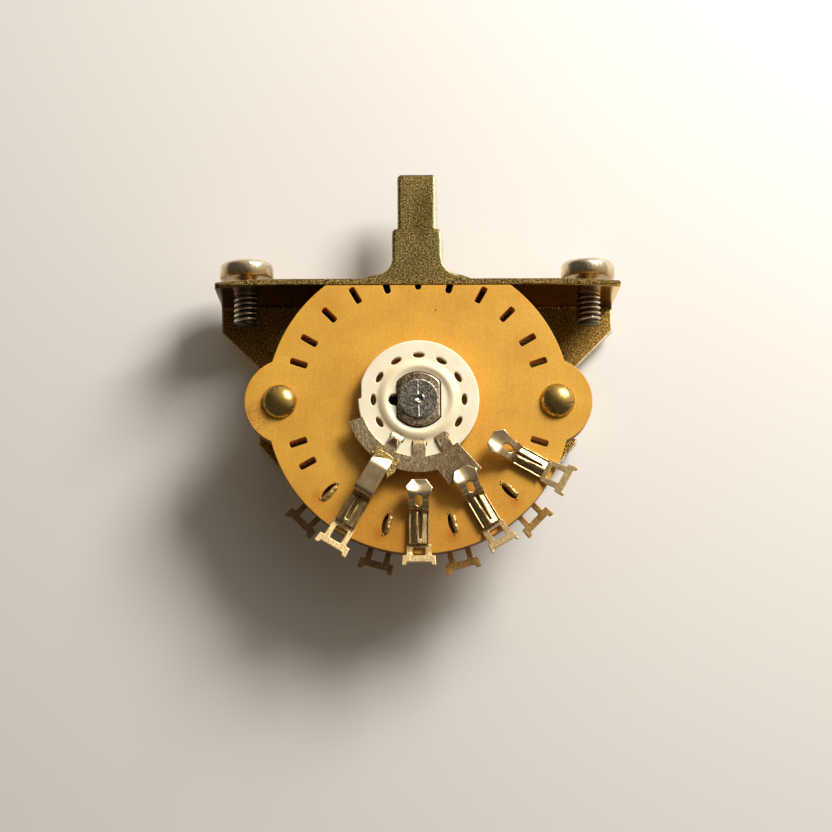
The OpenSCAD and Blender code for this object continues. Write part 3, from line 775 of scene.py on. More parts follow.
paints = {
    "zinc_bracket": zincPaint("zincBracket", 0.3, (0.88, 0.74, 0.56), legRimHighlight, flangeUnder),
    "zinc_lever": zincPaint("zincLever", 0.42, (0.47, 0.5, 0.54), bladeWearAndHighlight, shade=bladeShade),
    "phenolic_board": phenolicPaint(),
    "nylon": nylonPaint(),
    "contact_metal": contactPaint(),
    "silvered_terminal": terminalPaint(),
    "brass_rivet": brassPaint("brassRivet", 1.0),
    "brass_spacer": brassPaint("brassSpacer", 0.3),
    "rawBrass": brassPaint("rawBrass", 0.9, 0.34, 0.65),
    "nickel_screw": nickelPaint(),
    "dark_steel": shaftPaint(),
    "spring_steel": springPaint(),
}
print("materials made")


# Bracket

bracketSizes = {
    "halfLength": 24.05,
    "legHalf": 19.4,
    "frontY": -6.4,
    "sheet": 0.75,
    "foldMid": 0.825,
    "backMid": 5.775,
    "flangeEnd": -3.95,
    "taperEnd": -18,
    "legEnd": -26,
    "footHalf": 12.5,
    "slot": (25.0, 2.2),  # length, width
    "screw": (screwX, 1.56),  # x, radius
    "rivet": (rivetX, -14.75, 1.25),  # x, z, radius
    "springRivet": (8.8, -22.5, 0.75),  # x, z, radius
    "shaftHole": 2.56,  # radius
    "droopLeft": 0.42,
    "droopRight": 0.3,
}


def bracketMesh():
    b = bracketSizes
    foldStart = b["backMid"] - b["foldMid"] - b["frontY"]
    foldArc = b["foldMid"] * math.pi / 2
    half = b["sheet"] / 2

    def down(z):
        # distance along the sheet of a height z on the leg
        return foldStart + foldArc - half - b["foldMid"] - z

    def place(u, v, h):
        # flat, then a quarter turn of radius foldMid, then straight down
        turn = np.clip((v - foldStart) / b["foldMid"], 0, math.pi / 2)
        rest = np.maximum(v - foldStart - foldArc, 0)
        y = b["frontY"] + np.minimum(v, foldStart) + (b["foldMid"] + h) * np.sin(turn)
        z = -half - b["foldMid"] + (b["foldMid"] + h) * np.cos(turn) - rest
        bow = np.clip((np.abs(u) - 15) / 8.9, 0, 1) ** 2 * np.clip(1 - v / 10, 0, 1)
        return u, y, z - np.where(u < 0, b["droopLeft"], b["droopRight"]) * bow

    e, w, end = b["halfLength"], b["legHalf"], b["flangeEnd"]
    side = [(b["footHalf"], down(b["legEnd"])), (w, down(b["taperEnd"]))]
    side += [(w, down(end - e + w)), (e, down(end))]
    outline = [(-u, v) for u, v in side[::-1]] + side
    front = [(e, 0.35), (e - 0.1, 0.1), (e - 0.35, 0), (0.35 - e, 0), (0.1 - e, 0.1), (-e, 0.35)]
    outer = dense(outline + front, 0.35)
    holes = [stadium((0, -b["frontY"]), *b["slot"], 0, 14)]
    for side in (-1, 1):
        x, r = b["screw"]
        holes.append(arcPoints((side * x, -b["frontY"]), r, 0, 354, 60))
        for (x, z, r), last, count in ((b["rivet"], 352, 45), (b["springRivet"], 348, 30)):
            holes.append(arcPoints((side * x, down(z)), r, 0, last, count))
    holes.append(arcPoints((0, down(axisZ)), b["shaftHole"], 0, 355, 72))
    loops = [outer] + holes
    bands = [
        gridInside(loops, 1.2, 1.2, 0.3, ((-e, 0.5), (e, foldStart - 0.2))),
        gridInside(loops, 1.2, 0.13, 0.3, ((-e, foldStart), (e, foldStart + foldArc))),
    ]
    return plate(outer, holes, half, -half, place, 0.09, np.concatenate(bands))


piece("bracketSheet", bracketMesh(), "zinc_bracket", "bracket")
print("bracket made")


# Lever

leverSizes = {
    "thickness": 1.6,
    "edge": 0.44,
    "lowEdge": 0.09,
    "sector": 17.6,
    "hub": 5.6,
    "tail": 9.0,
    "notch": 0.95,
    "notchRing": 9.35,
    "lowHalf": 3.1,
    "topHalf": 2.4,
    "stepZ": 22.5,
    "tipZ": 29.3,
    "corner": 0.53,
    "inCorner": 0.14,
    "fillet": 1.9,
    "flank": (50, 1.286),  # direction in degrees, distance from the shaft
    "shaftHole": (3.19, 2.47),  # radius, half width between its flats
}


def leverMesh():
    s = leverSizes

    def lowRadius(a):
        # hub, straight flank of the arc plate, and tail with its five notches
        deg, (slant, off) = np.degrees(a), s["flank"]
        flank = off / np.maximum(np.sin(np.radians(slant) - a), 1e-3)
        tail = 2 / np.maximum(np.cos(a) + np.sin(a), 1e-3)
        tail = np.where(deg < -44, 99, tail)
        r = np.where(deg > 0, np.minimum(np.maximum(flank, s["hub"]), s["sector"]), s["hub"])
        r = np.where(deg < 0, np.minimum(np.maximum(tail, s["hub"]), s["tail"]), r)
        for k in range(-2, 3):
            off = a - np.radians(-90 + 15 * k)
            inside = s["notch"] ** 2 - (s["notchRing"] * np.sin(off)) ** 2
            near = s["notchRing"] * np.cos(off) - np.sqrt(np.maximum(inside, 0))
            r = np.where((inside > 0) & (np.abs(off) < 0.3), np.minimum(r, near), r)
        return r

    c, i, low, top = s["corner"], s["inCorner"], s["lowHalf"], s["topHalf"]
    footX = low + s["fillet"]
    footZ = math.sqrt((s["sector"] + s["fillet"]) ** 2 - footX**2)
    touch = math.degrees(math.atan2(footZ, footX))
    right = [
        np.array([(0.0, s["tipZ"])]),
        arcPoints((top - c, s["tipZ"] - c), c, 90, 0, 8),
        arcPoints((top + i, s["stepZ"] + i), i, 180, 262, 5),
        arcPoints((low - c, s["stepZ"] - c), c, 88, 0, 8),
        arcPoints((footX, footZ), s["fillet"], 180, 180 + touch, 14)[:-1],
        polar(s["sector"], np.arange(touch, 45.9, -0.8)),
        polar(lowRadius, np.linspace(45.8, -89.6, 420)),
    ]
    right = np.concatenate(right)
    left = right[::-1][:-1] * [-1, 1]
    outer = dense(np.concatenate([right, left]), 0.8)
    half = s["thickness"] / 2
    place = lambda u, v, h: (u, -h, axisZ + v)
    # the blade's edges are rounder than those of the plate below
    edge = lambda u, v: s["lowEdge"] + (s["edge"] - s["lowEdge"]) * smooth01((v - 14.9) / 1.4)
    hole = polar(flatted(*s["shaftHole"]), 4)
    return plate(outer, [hole], half, -half, place, edge, segments=6, support=1.12)


piece("leverPlate", leverMesh(), "zinc_lever", "lever")
print("lever made")


# Wafer

waferSizes = {
    "radius": 17.85,
    "ear": 5.1,
    "earX": 15.3,
    "earZ": 0.15,
    "top": 14.1,
    "slotRing": 14.85,
    "slotLength": 2.12,
    "slotWidth": 0.76,
    "slotCorner": 0.24,
    "neckHole": 6.13,
    "footOval": (1.18, 0.42),  # half length, half width
    "rivet": (rivetX, 0.15, 1.25),  # x, height over the shaft, radius
    "thickness": 2.2,
    "openSlots": (75, 90, 105),  # angles of the slots that the flat top cuts
    "slots": (18.5, 30, 45, 60, 120, 135, 150, 161.5, -18.5, -161.5, -151, -29, -60, -90.3, -121),
    "feet": (-45, -75, -105, -135),  # angles at which a foot of a back terminal comes through
}


def waferMesh():
    w = waferSizes
    ring, r0 = w["slotRing"], w["slotWidth"] / 2
    start = ring - w["slotLength"] / 2 + r0 - 0.25

    def outline(a):
        # circle, joined with the two ear circles, cut by the flat top and its open slots
        r = np.full(len(a), w["radius"])
        for side in (-1, 1):
            along = side * w["earX"] * np.cos(a) + w["earZ"] * np.sin(a)
            room = w["ear"] ** 2 - (w["earX"] ** 2 + w["earZ"] ** 2 - along**2)
            ear = along + np.sqrt(np.maximum(room, 0))
            r = np.where((room > 0) & (along > 0), np.maximum(r, ear), r)
        flat = w["top"] / np.maximum(np.sin(a), 1e-3)
        r = np.where(np.sin(a) > 0.1, np.minimum(r, flat), r)
        for slot in w["openSlots"]:
            off = a - math.radians(slot)
            room = r0**2 - (start * np.sin(off)) ** 2
            mouth = start * np.cos(off) - np.sqrt(np.maximum(room, 0))
            r = np.where((room > 0) & (np.abs(off) < 0.5), np.minimum(r, mouth), r)
        return r

    def oval(k):
        # an ellipse from its middle: long times wide over the length of (wide cos, long sin)
        long, wide = w["footOval"]
        return long * wide / np.hypot(wide * np.cos(k), long * np.sin(k))

    angles = [np.arange(0, 60, 0.4), np.arange(60, 120, 0.08), np.arange(120, 360, 0.4)]
    outer = polar(outline, np.concatenate(angles))
    holes = [polar(w["neckHole"], 3)]
    for a in w["slots"]:
        holes.append(softBox(ray(ring, a), w["slotLength"], w["slotWidth"], w["slotCorner"], a))
    for a in w["feet"]:
        holes.append(turned(polar(oval, 10) + [ring, -0.06], a))
    x, z, r = w["rivet"]
    holes += [arcPoints((side * x, z), r, 0, 352, 45) for side in (-1, 1)]
    return plate(outer, holes, 0, -w["thickness"], onWafer, 0.06)


piece("waferBoard", waferMesh(), "phenolic_board", "wafer")
print("wafer made")


# Rotor front half

rotorSizes = {
    "radius": 7.05,
    "flatX": 6.72,
    "ridgeRadius": 4.08,
    "ridgeHalf": 0.78,
    "ridgeRise": 0.35,
    "innerLevel": 0.08,
    "smallHole": (2.85, 0.7),  # distance from the shaft, radius
    "oval": (5.3, 0.33, 0.68),  # distance from the shaft, half width, half length
    "tabHole": (5.24, 1.75, 0.84),  # distance from the shaft, length, width
    "bore": (3.24, 2.52),  # radius, half width between its flats
    "neck": (3.4, 6.05, 0.3, -2.32),  # inner and outer radius, height of its front and back
}


def rotorHeight(u, v):
    # flat face with one soft round ridge; a little higher inside it
    s = rotorSizes
    r = np.hypot(u, v)
    bump = np.clip(1 - ((r - s["ridgeRadius"]) / s["ridgeHalf"]) ** 2, 0, 1) ** 1.5
    inner = s["innerLevel"] * np.clip((s["ridgeRadius"] - r) / 0.4 + 0.5, 0, 1)
    return rotorFace + s["ridgeRise"] * bump + inner


def rotorMesh():
    s = rotorSizes

    def outline(a):
        # circle, cut off straight at its upper left
        flat = s["flatX"] / np.maximum(-np.cos(a), 1e-3)
        cut = (np.sin(a) * s["radius"] > 0.2) & (np.cos(a) < 0)
        return np.where(cut, np.minimum(s["radius"], flat), s["radius"])

    def bore(a):
        # flatted shaft hole with a small round hole that opens into it on the left
        at, size = s["smallHole"]
        r = flatted(*s["bore"])(a)
        along = -at * np.cos(a)
        room = size**2 - (at**2 - along**2)
        small = along + np.sqrt(np.maximum(room, 0))
        return np.where((room > 0) & (along > 0), np.maximum(r, small), r)

    outer = polar(outline, 1)
    holes = [polar(bore, 2)]
    # ovals that lie along the ring; the three that take the contact's tabs are larger
    away, wide, long = s["oval"]
    oval = polar(1, 12) * (wide, long) + (away, 0)
    away, long, wide = s["tabHole"]
    for a in range(0, 360, 30):
        taken = a in (240, 270, 300)
        holes.append(stadium(ray(away, a), long, wide, a + 90, 9) if taken else turned(oval, a))
    inner = gridInside([outer] + holes, 0.17, 0.17, 0.21, ((-5.4, -5.4), (5.4, 5.4)))
    disc = plate(outer, holes, rotorHeight, 0.12, onWafer, 0.1, inner)
    r0, r1, top, low = s["neck"]
    neck = lathe(
        [(r0, top), (r1, top), (r1, low), (r0, low), (r0, top)],
        lambda r, h, a: onWafer(r * np.cos(a), r * np.sin(a), h),
    )
    return joined(disc, neck)


piece("rotorDisc", rotorMesh(), "nylon", "rotor_front")
print("rotor made")


# Wiping contact

contactSizes = {
    "inner": 6.75,
    "outer": 8.6,
    "wideInner": 6.85,
    "wideOuter": 10.95,
    "tabHalf": 0.75,
    "tabLength": 2.35,
    "sheet": 0.3,
    "foldAt": 5.42,
    "foldRadius": 0.25,
    "tabs": (-60, -90, -120),  # their angles
    "angles": (-162.3, -76, -71.3, -48.5),  # start and end of the narrow arc, of the wide part
}


def contactMesh():
    s = contactSizes
    far, near, bend, tabs = s["wideOuter"], s["inner"], s["foldRadius"], s["tabs"]
    start, narrowEnd, wideStart, end = s["angles"]
    side = math.degrees(math.asin(s["tabHalf"] / near))
    outer = [ray(s["outer"], a) for a in np.arange(start, narrowEnd, 2.0)]
    outer += [ray(s["outer"] - 0.05, narrowEnd), ray(far - 0.2, wideStart)]
    outer += [ray(far, end), ray(s["wideInner"], end)]
    outer += [ray(near, -50.0), ray(near, -52.0)]
    for tab in tabs:
        right, left = (np.array(ray(near, a)) for a in (tab + side, tab - side))
        reach = np.array(ray(s["tabLength"], tab))
        outer += [right, right - reach, left - reach, left]
        until = start if tab == tabs[-1] else tab - 30 + side
        outer += [ray(near, a) for a in np.arange(tab - side - 2, until + 1, -2.0)]
    outer = dense(outer + [ray(near, start)], 0.11)

    def bent(u, v, h):
        # each tab turns down through its hole in the rotor, with a bend of a small radius
        x, z, y = u, v, h + rotorFace
        for tab in tabs:
            c, n = swing(tab)
            along, across = u * c + v * n, v * c - u * n
            here = (np.abs(across) < 0.85) & (along < 6.1) & (along > 2)
            over = np.maximum(s["foldAt"] - along, 0)
            turn = np.clip(over / bend, 0, math.pi / 2)
            rest = np.maximum(over - bend * math.pi / 2, 0)
            newAlong = np.minimum(along, s["foldAt"]) - (bend + h) * np.sin(turn)
            x = np.where(here, newAlong * c - across * n, x)
            z = np.where(here, newAlong * n + across * c, z)
            y = np.where(here, rotorFace - bend + (bend + h) * np.cos(turn) - rest, y)
        return onWafer(x, z, y)

    inner = gridInside([outer], 0.09, 0.09, 0.1, ((-4, -5.9), (4, -1)))
    inner = inner[np.hypot(*inner.T) < 5.9]
    return plate(outer, [], s["sheet"], 0.0, bent, 0.05, inner)


piece("contactFront", contactMesh(), "contact_metal", "front_contact")
print("contact made")


# Terminals

clipSizes = {
    "sheet": 0.25,
    "half": 1.17,
    "jawHalf": 1.6,
    "neck": 16.65,
    "lugEnd": 20.3,
    "roof": 0.48,
    "ridgeAt": -0.2,
    "crease": -0.3,
    "wing": 0.35,
    "hole": (2.37, 1.3, 0.8, 0.86),  # distance from the tip, length, width above and below
    "topLevel": 2.6,
    # distance of the tip, from there to the body, the slit's place across and its width
    "common": (7.3, 5.9, -0.12, 0.36),
    "single": (9.45, 3.4, 0.14, 0.2),
}
# heights of the leaves over the distance from the nose's tip; the bar ones are the commons'
upperLine = [(0.0, 2.25), (1.5, 2.25), (1.9, 2.24), (2.05, 2.17), (2.5, 1.64), (2.65, 1.56)]
upperLine += [(3.05, 1.5), (3.17, 1.42), (3.55, 0.58), (3.7, 0.44), (12, 0.42)]
barLine = [(0.0, 2.5), (0.4, 2.33), (0.75, 2.29), (1.4, 2.58), (1.6, 2.6), (5.1, 2.6)]
barLine += [(5.4, 2.35), (5.75, 0.75), (6.1, 0.42), (14, 0.42)]
lowerLine = [(0.0, 1.38), (0.6, 1.62), (1.4, 1.6), (2.4, 1.2), (3.3, 0.5), (3.8, 0.125), (14, 0.125)]
lowerBarLine = lowerLine[:3] + [(s + 2, h) for s, h in lowerLine[3:6]] + lowerLine[6:]
# path of the rolled end of the foot, across the slot and off the wafer
rollLine = [(-0.04, -1.7), (-0.04, -2.25), (-0.08, -2.44), (-0.18, -2.56), (-0.34, -2.56)]
rollLine = np.array(rollLine + [(-0.5, -2.44), (-0.57, -2.24)])


def smoothLine(line, tip, window=8):
    # the polyline over s, averaged over a short window so that its bends are round
    s = np.arange(-1, 14, 0.02)
    kernel = np.hanning(2 * window + 1)
    h = np.pad(np.interp(s, *np.array(line).T), window, "edge")
    h = np.convolve(h, kernel / kernel.sum(), "valid")
    return lambda x: np.interp(x - tip, s, h)


def foldAlong(s, h, bends):
    # The sheet turns towards the viewer by each (start, angle, radius); its path is the
    # running sum of the cosine and the sine of the angle reached so far.
    at = np.arange(0, 24, 0.01)
    turn = sum(a * np.clip((at - start) / (r * abs(a)), 0, 1) for start, a, r in bends)
    along, up = (np.append(0, np.cumsum(way(turn[:-1]) * 0.01)) for way in (np.cos, np.sin))
    angle = np.interp(s, at, turn)
    return np.interp(s, at, along) - h * np.sin(angle), np.interp(s, at, up) + h * np.cos(angle)


def leafMesh(outer, holes, height, place, fold=None, clear=None):
    # One leaf: (s, t) carried to its height, then half the sheet out along the normal.
    # clear(s) is the level above which the sheet must stay; there it gets thinner.
    half, e = clipSizes["sheet"] / 2, 0.02

    def shaped(u, v, h):
        slopeU = (height(u + e, v) - height(u - e, v)) / (2 * e)
        slopeV = (height(u, v + e) - height(u, v - e)) / (2 * e)
        size = np.sqrt(1 + slopeU**2 + slopeV**2)
        s, t, up = u - h * slopeU / size, v - h * slopeV / size, height(u, v) + h / size
        if clear:
            up = np.maximum(up, clear(s) + 0.05 * (1 + h / half))
        if fold:
            s, up = foldAlong(s, up, fold)
        return place(s, t, up)

    outer = dense(outer, 0.2)
    inner = gridInside([outer] + holes, 0.16, 0.16, 0.135)
    return plate(outer, holes, half, -half, shaped, 0.07, inner, 2)


def clinchMeshes(angle, place):
    # foot through the slot, its end rolled over on the other side, and crumbs beside it
    ring = waferSizes["slotRing"]
    foot = plate(stadium((ring, -0.15), 1.9, 0.3), [], 0.1, -1.75, place, 0.04)
    gone = np.append(0, np.cumsum(np.hypot(*np.diff(rollLine, axis=0).T)))
    long, e = gone[-1], 0.04

    def onRoll(v):
        # the roll's (t, up) at a distance v along it
        return np.array([np.interp(v, gone, line) for line in rollLine.T])

    def rolled(u, v, h):
        # v runs along the roll; its ends at the slot's ends are lower than its middle
        (t, up), (dt, du) = onRoll(v), onRoll(v + e) - onRoll(v - e)
        size = np.hypot(dt, du)
        lower = 1 - (np.abs(u - ring) / 1.25) ** 2.5
        up = np.where(up < -2.2, -2.2 + (up + 2.2) * (0.25 + 0.75 * lower), up)
        uneven = 0.03 * np.sin(4.7 * u + angle) + 0.015 * np.sin(11 * u + 6 * v)
        return place(u, t + h * du / size + uneven, up - h * dt / size + uneven * (v > 0.7))

    outline = [(-0.85, 0), (0.85, 0), (0.95, 0.5), (1.2, 0.72), (1.05, long - 0.3), (0.4, long)]
    outline += [(-0.25, long - 0.04), (-0.9, long - 0.24), (-1.18, 0.72), (-0.95, 0.5)]
    outline = dense(np.array(outline) + (ring, 0), 0.12)
    inner = gridInside([outline], 0.14, 0.08, 0.07)
    tongue = plate(outline, [], 0.07, -0.07, rolled, 0.03, inner, 2)
    made = [foot, tongue]
    for at, off, size in ((-1.4, -0.12, 0.16), (-1.28, 0.13, 0.13), (1.3, 0.05, 0.14)):
        # the distance of a crumb's rim swings with the angle
        crumb = polar(lambda k: size * (1 + 0.3 * np.sin(3 * k + angle)), 20) + (ring + at, off)
        made.append(plate(crumb, [], -2.18, -2.29, place, 0.04, None, 2))
    return made


def crustMesh(place, tip, at, off, long, wide):
    # a ragged crust of brass: an oval whose rim and height swing
    outline = polar(lambda k: 1 + 0.11 * np.sin(5 * k + at) + 0.07 * np.sin(11 * k), 10)
    outline = outline * (long, wide) + (tip + at, off)

    def crumbly(u, v):
        # a rough level: the fractional part of a large multiple of a sine differs at each point
        rough = np.sin(u * 12.99 + v * 78.23) * 43758.5 % 1
        return 2.4 + 0.13 * rough + 0.03 * np.sin(5 * u + 3 * v)

    inner = gridInside([outline], 0.1, 0.1, 0.08)
    return plate(outline, [], crumbly, 2.15, place, 0.035, inner, 2)


def terminalMesh(angle, onFront, common, nosePitch, ear, bends):
    c = clipSizes
    tip, bodyAt, slitAt, slitWidth = c["common" if common else "single"]
    bodyStart = tip + bodyAt
    cosA, sinA = swing(angle)
    face, side = (waferFront, 1) if onFront else (waferBack, -1)

    def place(s, t, h):
        # s away from the shaft along angle, t across, h off the wafer's face
        x, z = s * cosA - side * t * sinA, s * sinA + side * t * cosA
        return x, face - side * h, axisZ + z

    upLine = smoothLine(barLine if common else upperLine, tip)
    lowLine = smoothLine(lowerBarLine if common else lowerLine, tip)

    def upper(s, t):
        # the body is a low roof with a raised lip on both sides, the nose has two wings
        off = t - c["ridgeAt"]
        sideways = np.abs(off) / (c["half"] - np.sign(off) * c["ridgeAt"])
        body = smooth01((s - bodyStart) / 0.35)
        roof = c["roof"] * (1 - np.minimum(sideways, 1.0))
        lips = 0.16 * smooth01((np.abs(t) / c["half"] - 0.8) / 0.2)
        wing = c["wing"] * softOver(c["crease"] - t, 0.4) + 0.1 * softOver(t - 0.3, 0.3)
        wing = wing * (1 - smooth01((s - tip - 1.4) / 0.6)) - nosePitch * softOver(tip + 1.4 - s)
        line = upLine(s) + wing
        if common:
            # the front slope of the nose starts further back on its left
            back, long = tip + 1.9 - s, 1.05 + 0.45 * t
            slope = softOver(back, 0.06) - softOver(back - long, 0.06)
            nose = c["topLevel"] - 0.37 * slope + 0.04 * softOver(back - long)
            line = np.where(s < tip + 2.5, nose, upLine(s))
        line = line + body * (roof + lips)
        return np.minimum(line - softOver(line - c["topLevel"] + 0.02, 0.05), c["topLevel"] + 0.01)

    w, j, n, e = c["half"], c["jawHalf"], c["neck"], c["lugEnd"]
    holeAt, holeLong, holeWide, lowWide = c["hole"]
    slitLength = n - bodyStart - 0.5
    holes = [stadium(((bodyStart + n) / 2 - 0.15, slitAt), slitLength, slitWidth, 0, 5)]
    window = mirrored([(e - 2.9, -0.62), (e - 2.78, -0.74), (e - 1.34, -0.74), (e - 1.22, -0.62)])
    lowHoles = [dense(window, 0.3)]
    # jaws from their tip to the body: the upper one, then the lower one's two sides
    if common:
        jaw = [(0.1, -0.5), (0.2, -1.0), (0.5, -w), (1.0, -w)]
        lowJaw = [(-0.12, -1.0), (0.05, -1.55), (1.2, -1.5), (1.8, -w)]
        farJaw = [(-0.12, 1.1), (0.1, 1.8), (1.2, 1.95), (1.9, w)]
    else:
        holes.append(stadium((tip + holeAt, 0), holeLong, holeWide))
        lowHoles.append(stadium((tip + holeAt, 0), holeLong, lowWide))
        jaw = [(0, -0.85), (0.95, -j), (2.15, -w)]
        lowJaw = [(0.25, -0.9), (0.6, -1.3), (1.4, -1.3), (1.9, -w)]
        farJaw = [(s, -t) for s, t in lowJaw]
    jaw, lowJaw, farJaw = ([(tip + s, t) for s, t in line] for line in (jaw, lowJaw, farJaw))
    upperOuter = mirrored(jaw + [(n - 0.1, -w - 0.02), (n + 0.1, -w - 0.1)])
    lug = [(n, -w), (n + 0.2, -1.42), (e - 1.34, -1.44), (e - 1.26, -1.5), (e - 1.22, -ear + 0.1)]
    lug += [(e - 0.12, -ear), (e, -ear + 0.1), (e - 0.02, -1.6), (e - 0.12, -1.48), (e - 0.4, -1.4)]
    lowerOuter = lowJaw + mirrored(lug) + farJaw[::-1]
    jawLevel = lambda s: 2.14 - 2 * softOver(s - tip - 1.6)
    top = leafMesh(upperOuter, holes, upper, place, clear=jawLevel)
    bottom = leafMesh(lowerOuter, lowHoles, lambda s, t: lowLine(s) + 0 * t, place, fold=bends)

    def brassy(mesh, where):
        # the faces for which where(s, t) holds take the second material, raw brass
        at = np.array([f.center for f in mesh.polygons]) / mm - (0, 0, axisZ)
        s, t = at[:, 0] * cosA + at[:, 2] * sinA, at[:, 2] * cosA - at[:, 0] * sinA
        mesh.polygons.foreach_set("material_index", where(s, t).astype(np.int32))

    # crusts at the left of the nose's tip and along its right side
    crusts = ((0.5, -0.9, 0.55, 0.65), (1.25, 1.55, 1.3, 0.4)) if common and onFront else ()
    raw = clinchMeshes(angle, place) + [crustMesh(place, tip, *crust) for crust in crusts]
    for mesh in raw:
        brassy(mesh, lambda s, t: s > 0)
    if common:
        # the jaw's end and what shows through the slit are raw brass
        brassy(top, lambda s, t: s < tip + 0.82 - 0.45 * t)
        brassy(bottom, lambda s, t: (s < tip + 2) | ((s > bodyStart) & (s < n) & (np.abs(t) < 0.7)))
    return joined(top, bottom, *raw)


# angle, on the front, common, pitch of the nose, half width and bends of the lug
clips = {
    "front_common": (-121.0, True, True, 0, 2.1, [(16.9, 0.2, 0.5)]),
    "front_clip_1": (-90.3, True, False, 0.22, 2.0, [(16.9, 1.05, 0.3), (18.65, -0.85, 0.3)]),
    "front_clip_2": (-60, True, False, 0.07, 1.8, [(16.9, 0.6, 0.35), (18.9, -0.3, 0.35)]),
    "front_clip_3": (-29, True, False, -0.12, 1.9, [(16.9, 0.42, 0.4), (18.9, -0.22, 0.4)]),
    "back_common": (-45, False, True, 0, 2.1, [(17.45, 0.05, 0.5)]),
    "back_clip_1": (-75, False, False, 0.0, 2.1, [(17.45, 0.06, 0.5)]),
    "back_clip_2": (-105, False, False, 0.0, 2.1, [(17.45, 0.04, 0.5)]),
    "back_clip_3": (-135, False, False, 0.0, 2.1, [(17.45, 0.05, 0.5)]),
}
for node, settings in clips.items():
    made = piece("terminal_" + node, terminalMesh(*settings), "silvered_terminal", node)
    made.data.materials.append(paints["rawBrass"])
print("terminals made")


# Rivets

rivetSizes = {"head": 2.03, "dome": 1.25, "shank": 1.2, "legBack": 6.15, "tailHead": 1.9}


def rivetMesh(x):
    # the dome is half an ellipse: radius head sin t, height dome cos t
    s = rivetSizes
    y, r, tail = s["legBack"], s["shank"], s["tailHead"]
    turns = np.linspace(0, 1.5, 24)
    line = [(s["head"] * math.sin(t), waferFront - s["dome"] * math.cos(t)) for t in turns]
    line += [(s["head"] - 0.03, waferFront), (r, waferFront), (r, y), (tail, y)]
    line += [(tail, y + 0.45), (tail - 0.1, y + 0.6), (tail - 0.5, y + 0.78), (0, y + 0.8)]
    return lathe(line, alongY(x, axisZ + waferSizes["rivet"][1]))


for side, x in (("left", -rivetX), ("right", rivetX)):
    piece("rivetDome_" + side, rivetMesh(x), "brass_rivet", "rivet_" + side)
print("rivets made")


# Screws

screwSizes = {
    "crest": 1.5,
    "core": 1.16,
    "pitch": 0.635,
    "tip": -4.25,
    "under": 1.4,
    "head": 3.25,
    "height": 2.2,
    "wall": 1.25,
    "crown": 0.22,
    "crownRadius": 2.6,
    "crossHalf": 0.4,
    "crossReach": 1.9,
    "crossDepth": 1.1,
    "crossTurn": 0.35,  # radians
}


def screwMesh(x):
    s = screwSizes
    tip, under, head, crownRadius = s["tip"], s["under"], s["head"], s["crownRadius"]

    def place(r, z, a):
        return x + r * np.cos(a), r * np.sin(a), z

    def thread(r, z, a):
        # radius swings between core and crest with the height's phase along the helix
        phase = (z / s["pitch"] - a / (2 * math.pi)) % 1
        wave = smooth01((1 - np.abs(2 * phase - 1) - 0.18) / 0.6)
        start = np.clip((z - tip) / 0.35, 0, 1)
        full = s["core"] + (s["crest"] - s["core"]) * wave * (0.35 + 0.65 * start)
        return np.where(r > 0.5, full, r), z

    z = np.arange(tip + 0.12, under + 0.1, 0.03)
    profile = [(0, tip)] + [(1, k) for k in z] + [(0, under + 0.1)]
    shank = lathe(profile, place, 56, thread)
    top = under + s["height"]
    wall, rim = under + s["wall"], top - s["crown"]
    # the head's crown is part of a ball; a quarter of an ellipse leads from it to the wall
    ball = (crownRadius**2 + s["crown"] ** 2) / (2 * s["crown"])
    r = np.concatenate([np.arange(0, 2.2, 0.06), np.arange(2.2, crownRadius, 0.1)])
    line = [(k, top - ball + math.sqrt(ball**2 - k**2)) for k in r]
    r, rise = crownRadius - 0.02, rim - wall
    bend = np.linspace(math.pi / 2 * 0.93, 0, 8)
    line += [(r + (head - r) * math.cos(k), wall + rise * math.sin(k)) for k in bend]
    line += [(head, under + 0.16), (head - 0.05, under + 0.05), (head - 0.17, under)]
    line += [(head - 0.4, under), (0, under)]

    def cross(r, z, a):
        # cross slot: two bars, turned and pressed in with soft edges
        half, reach, a = s["crossHalf"], s["crossReach"], a - s["crossTurn"]
        u, v = np.abs(r * np.cos(a)), np.abs(r * np.sin(a))
        bars = [smooth01((half - p) / 0.1) * smooth01((reach - q) / 0.35) for p, q in ((v, u), (u, v))]
        upward = smooth01((z - (top - 1.0)) / 0.1)
        return r, z - s["crossDepth"] * np.maximum(*bars) * upward * (1 - 0.35 * r / reach)

    return joined(lathe(line, place, 144, cross), shank)


for side, x in (("left", -screwX), ("right", screwX)):
    piece("screwPan_" + side, screwMesh(x), "nickel_screw", "screw_" + side)
print("screws made")


# Shaft

shaftSizes = {
    "nose": 2.3,
    "front": -9.055,
    "bodyFront": -8.65,
    "body": 3.17,
    "flat": 2.45,
    "disc": (4.2, 0.8, 5.1),  # radius, start, end
    "journal": (2.5, 7.5),  # radius, end
    "groove": (1.9, 6.3, 6.8),  # radius, start, end
}


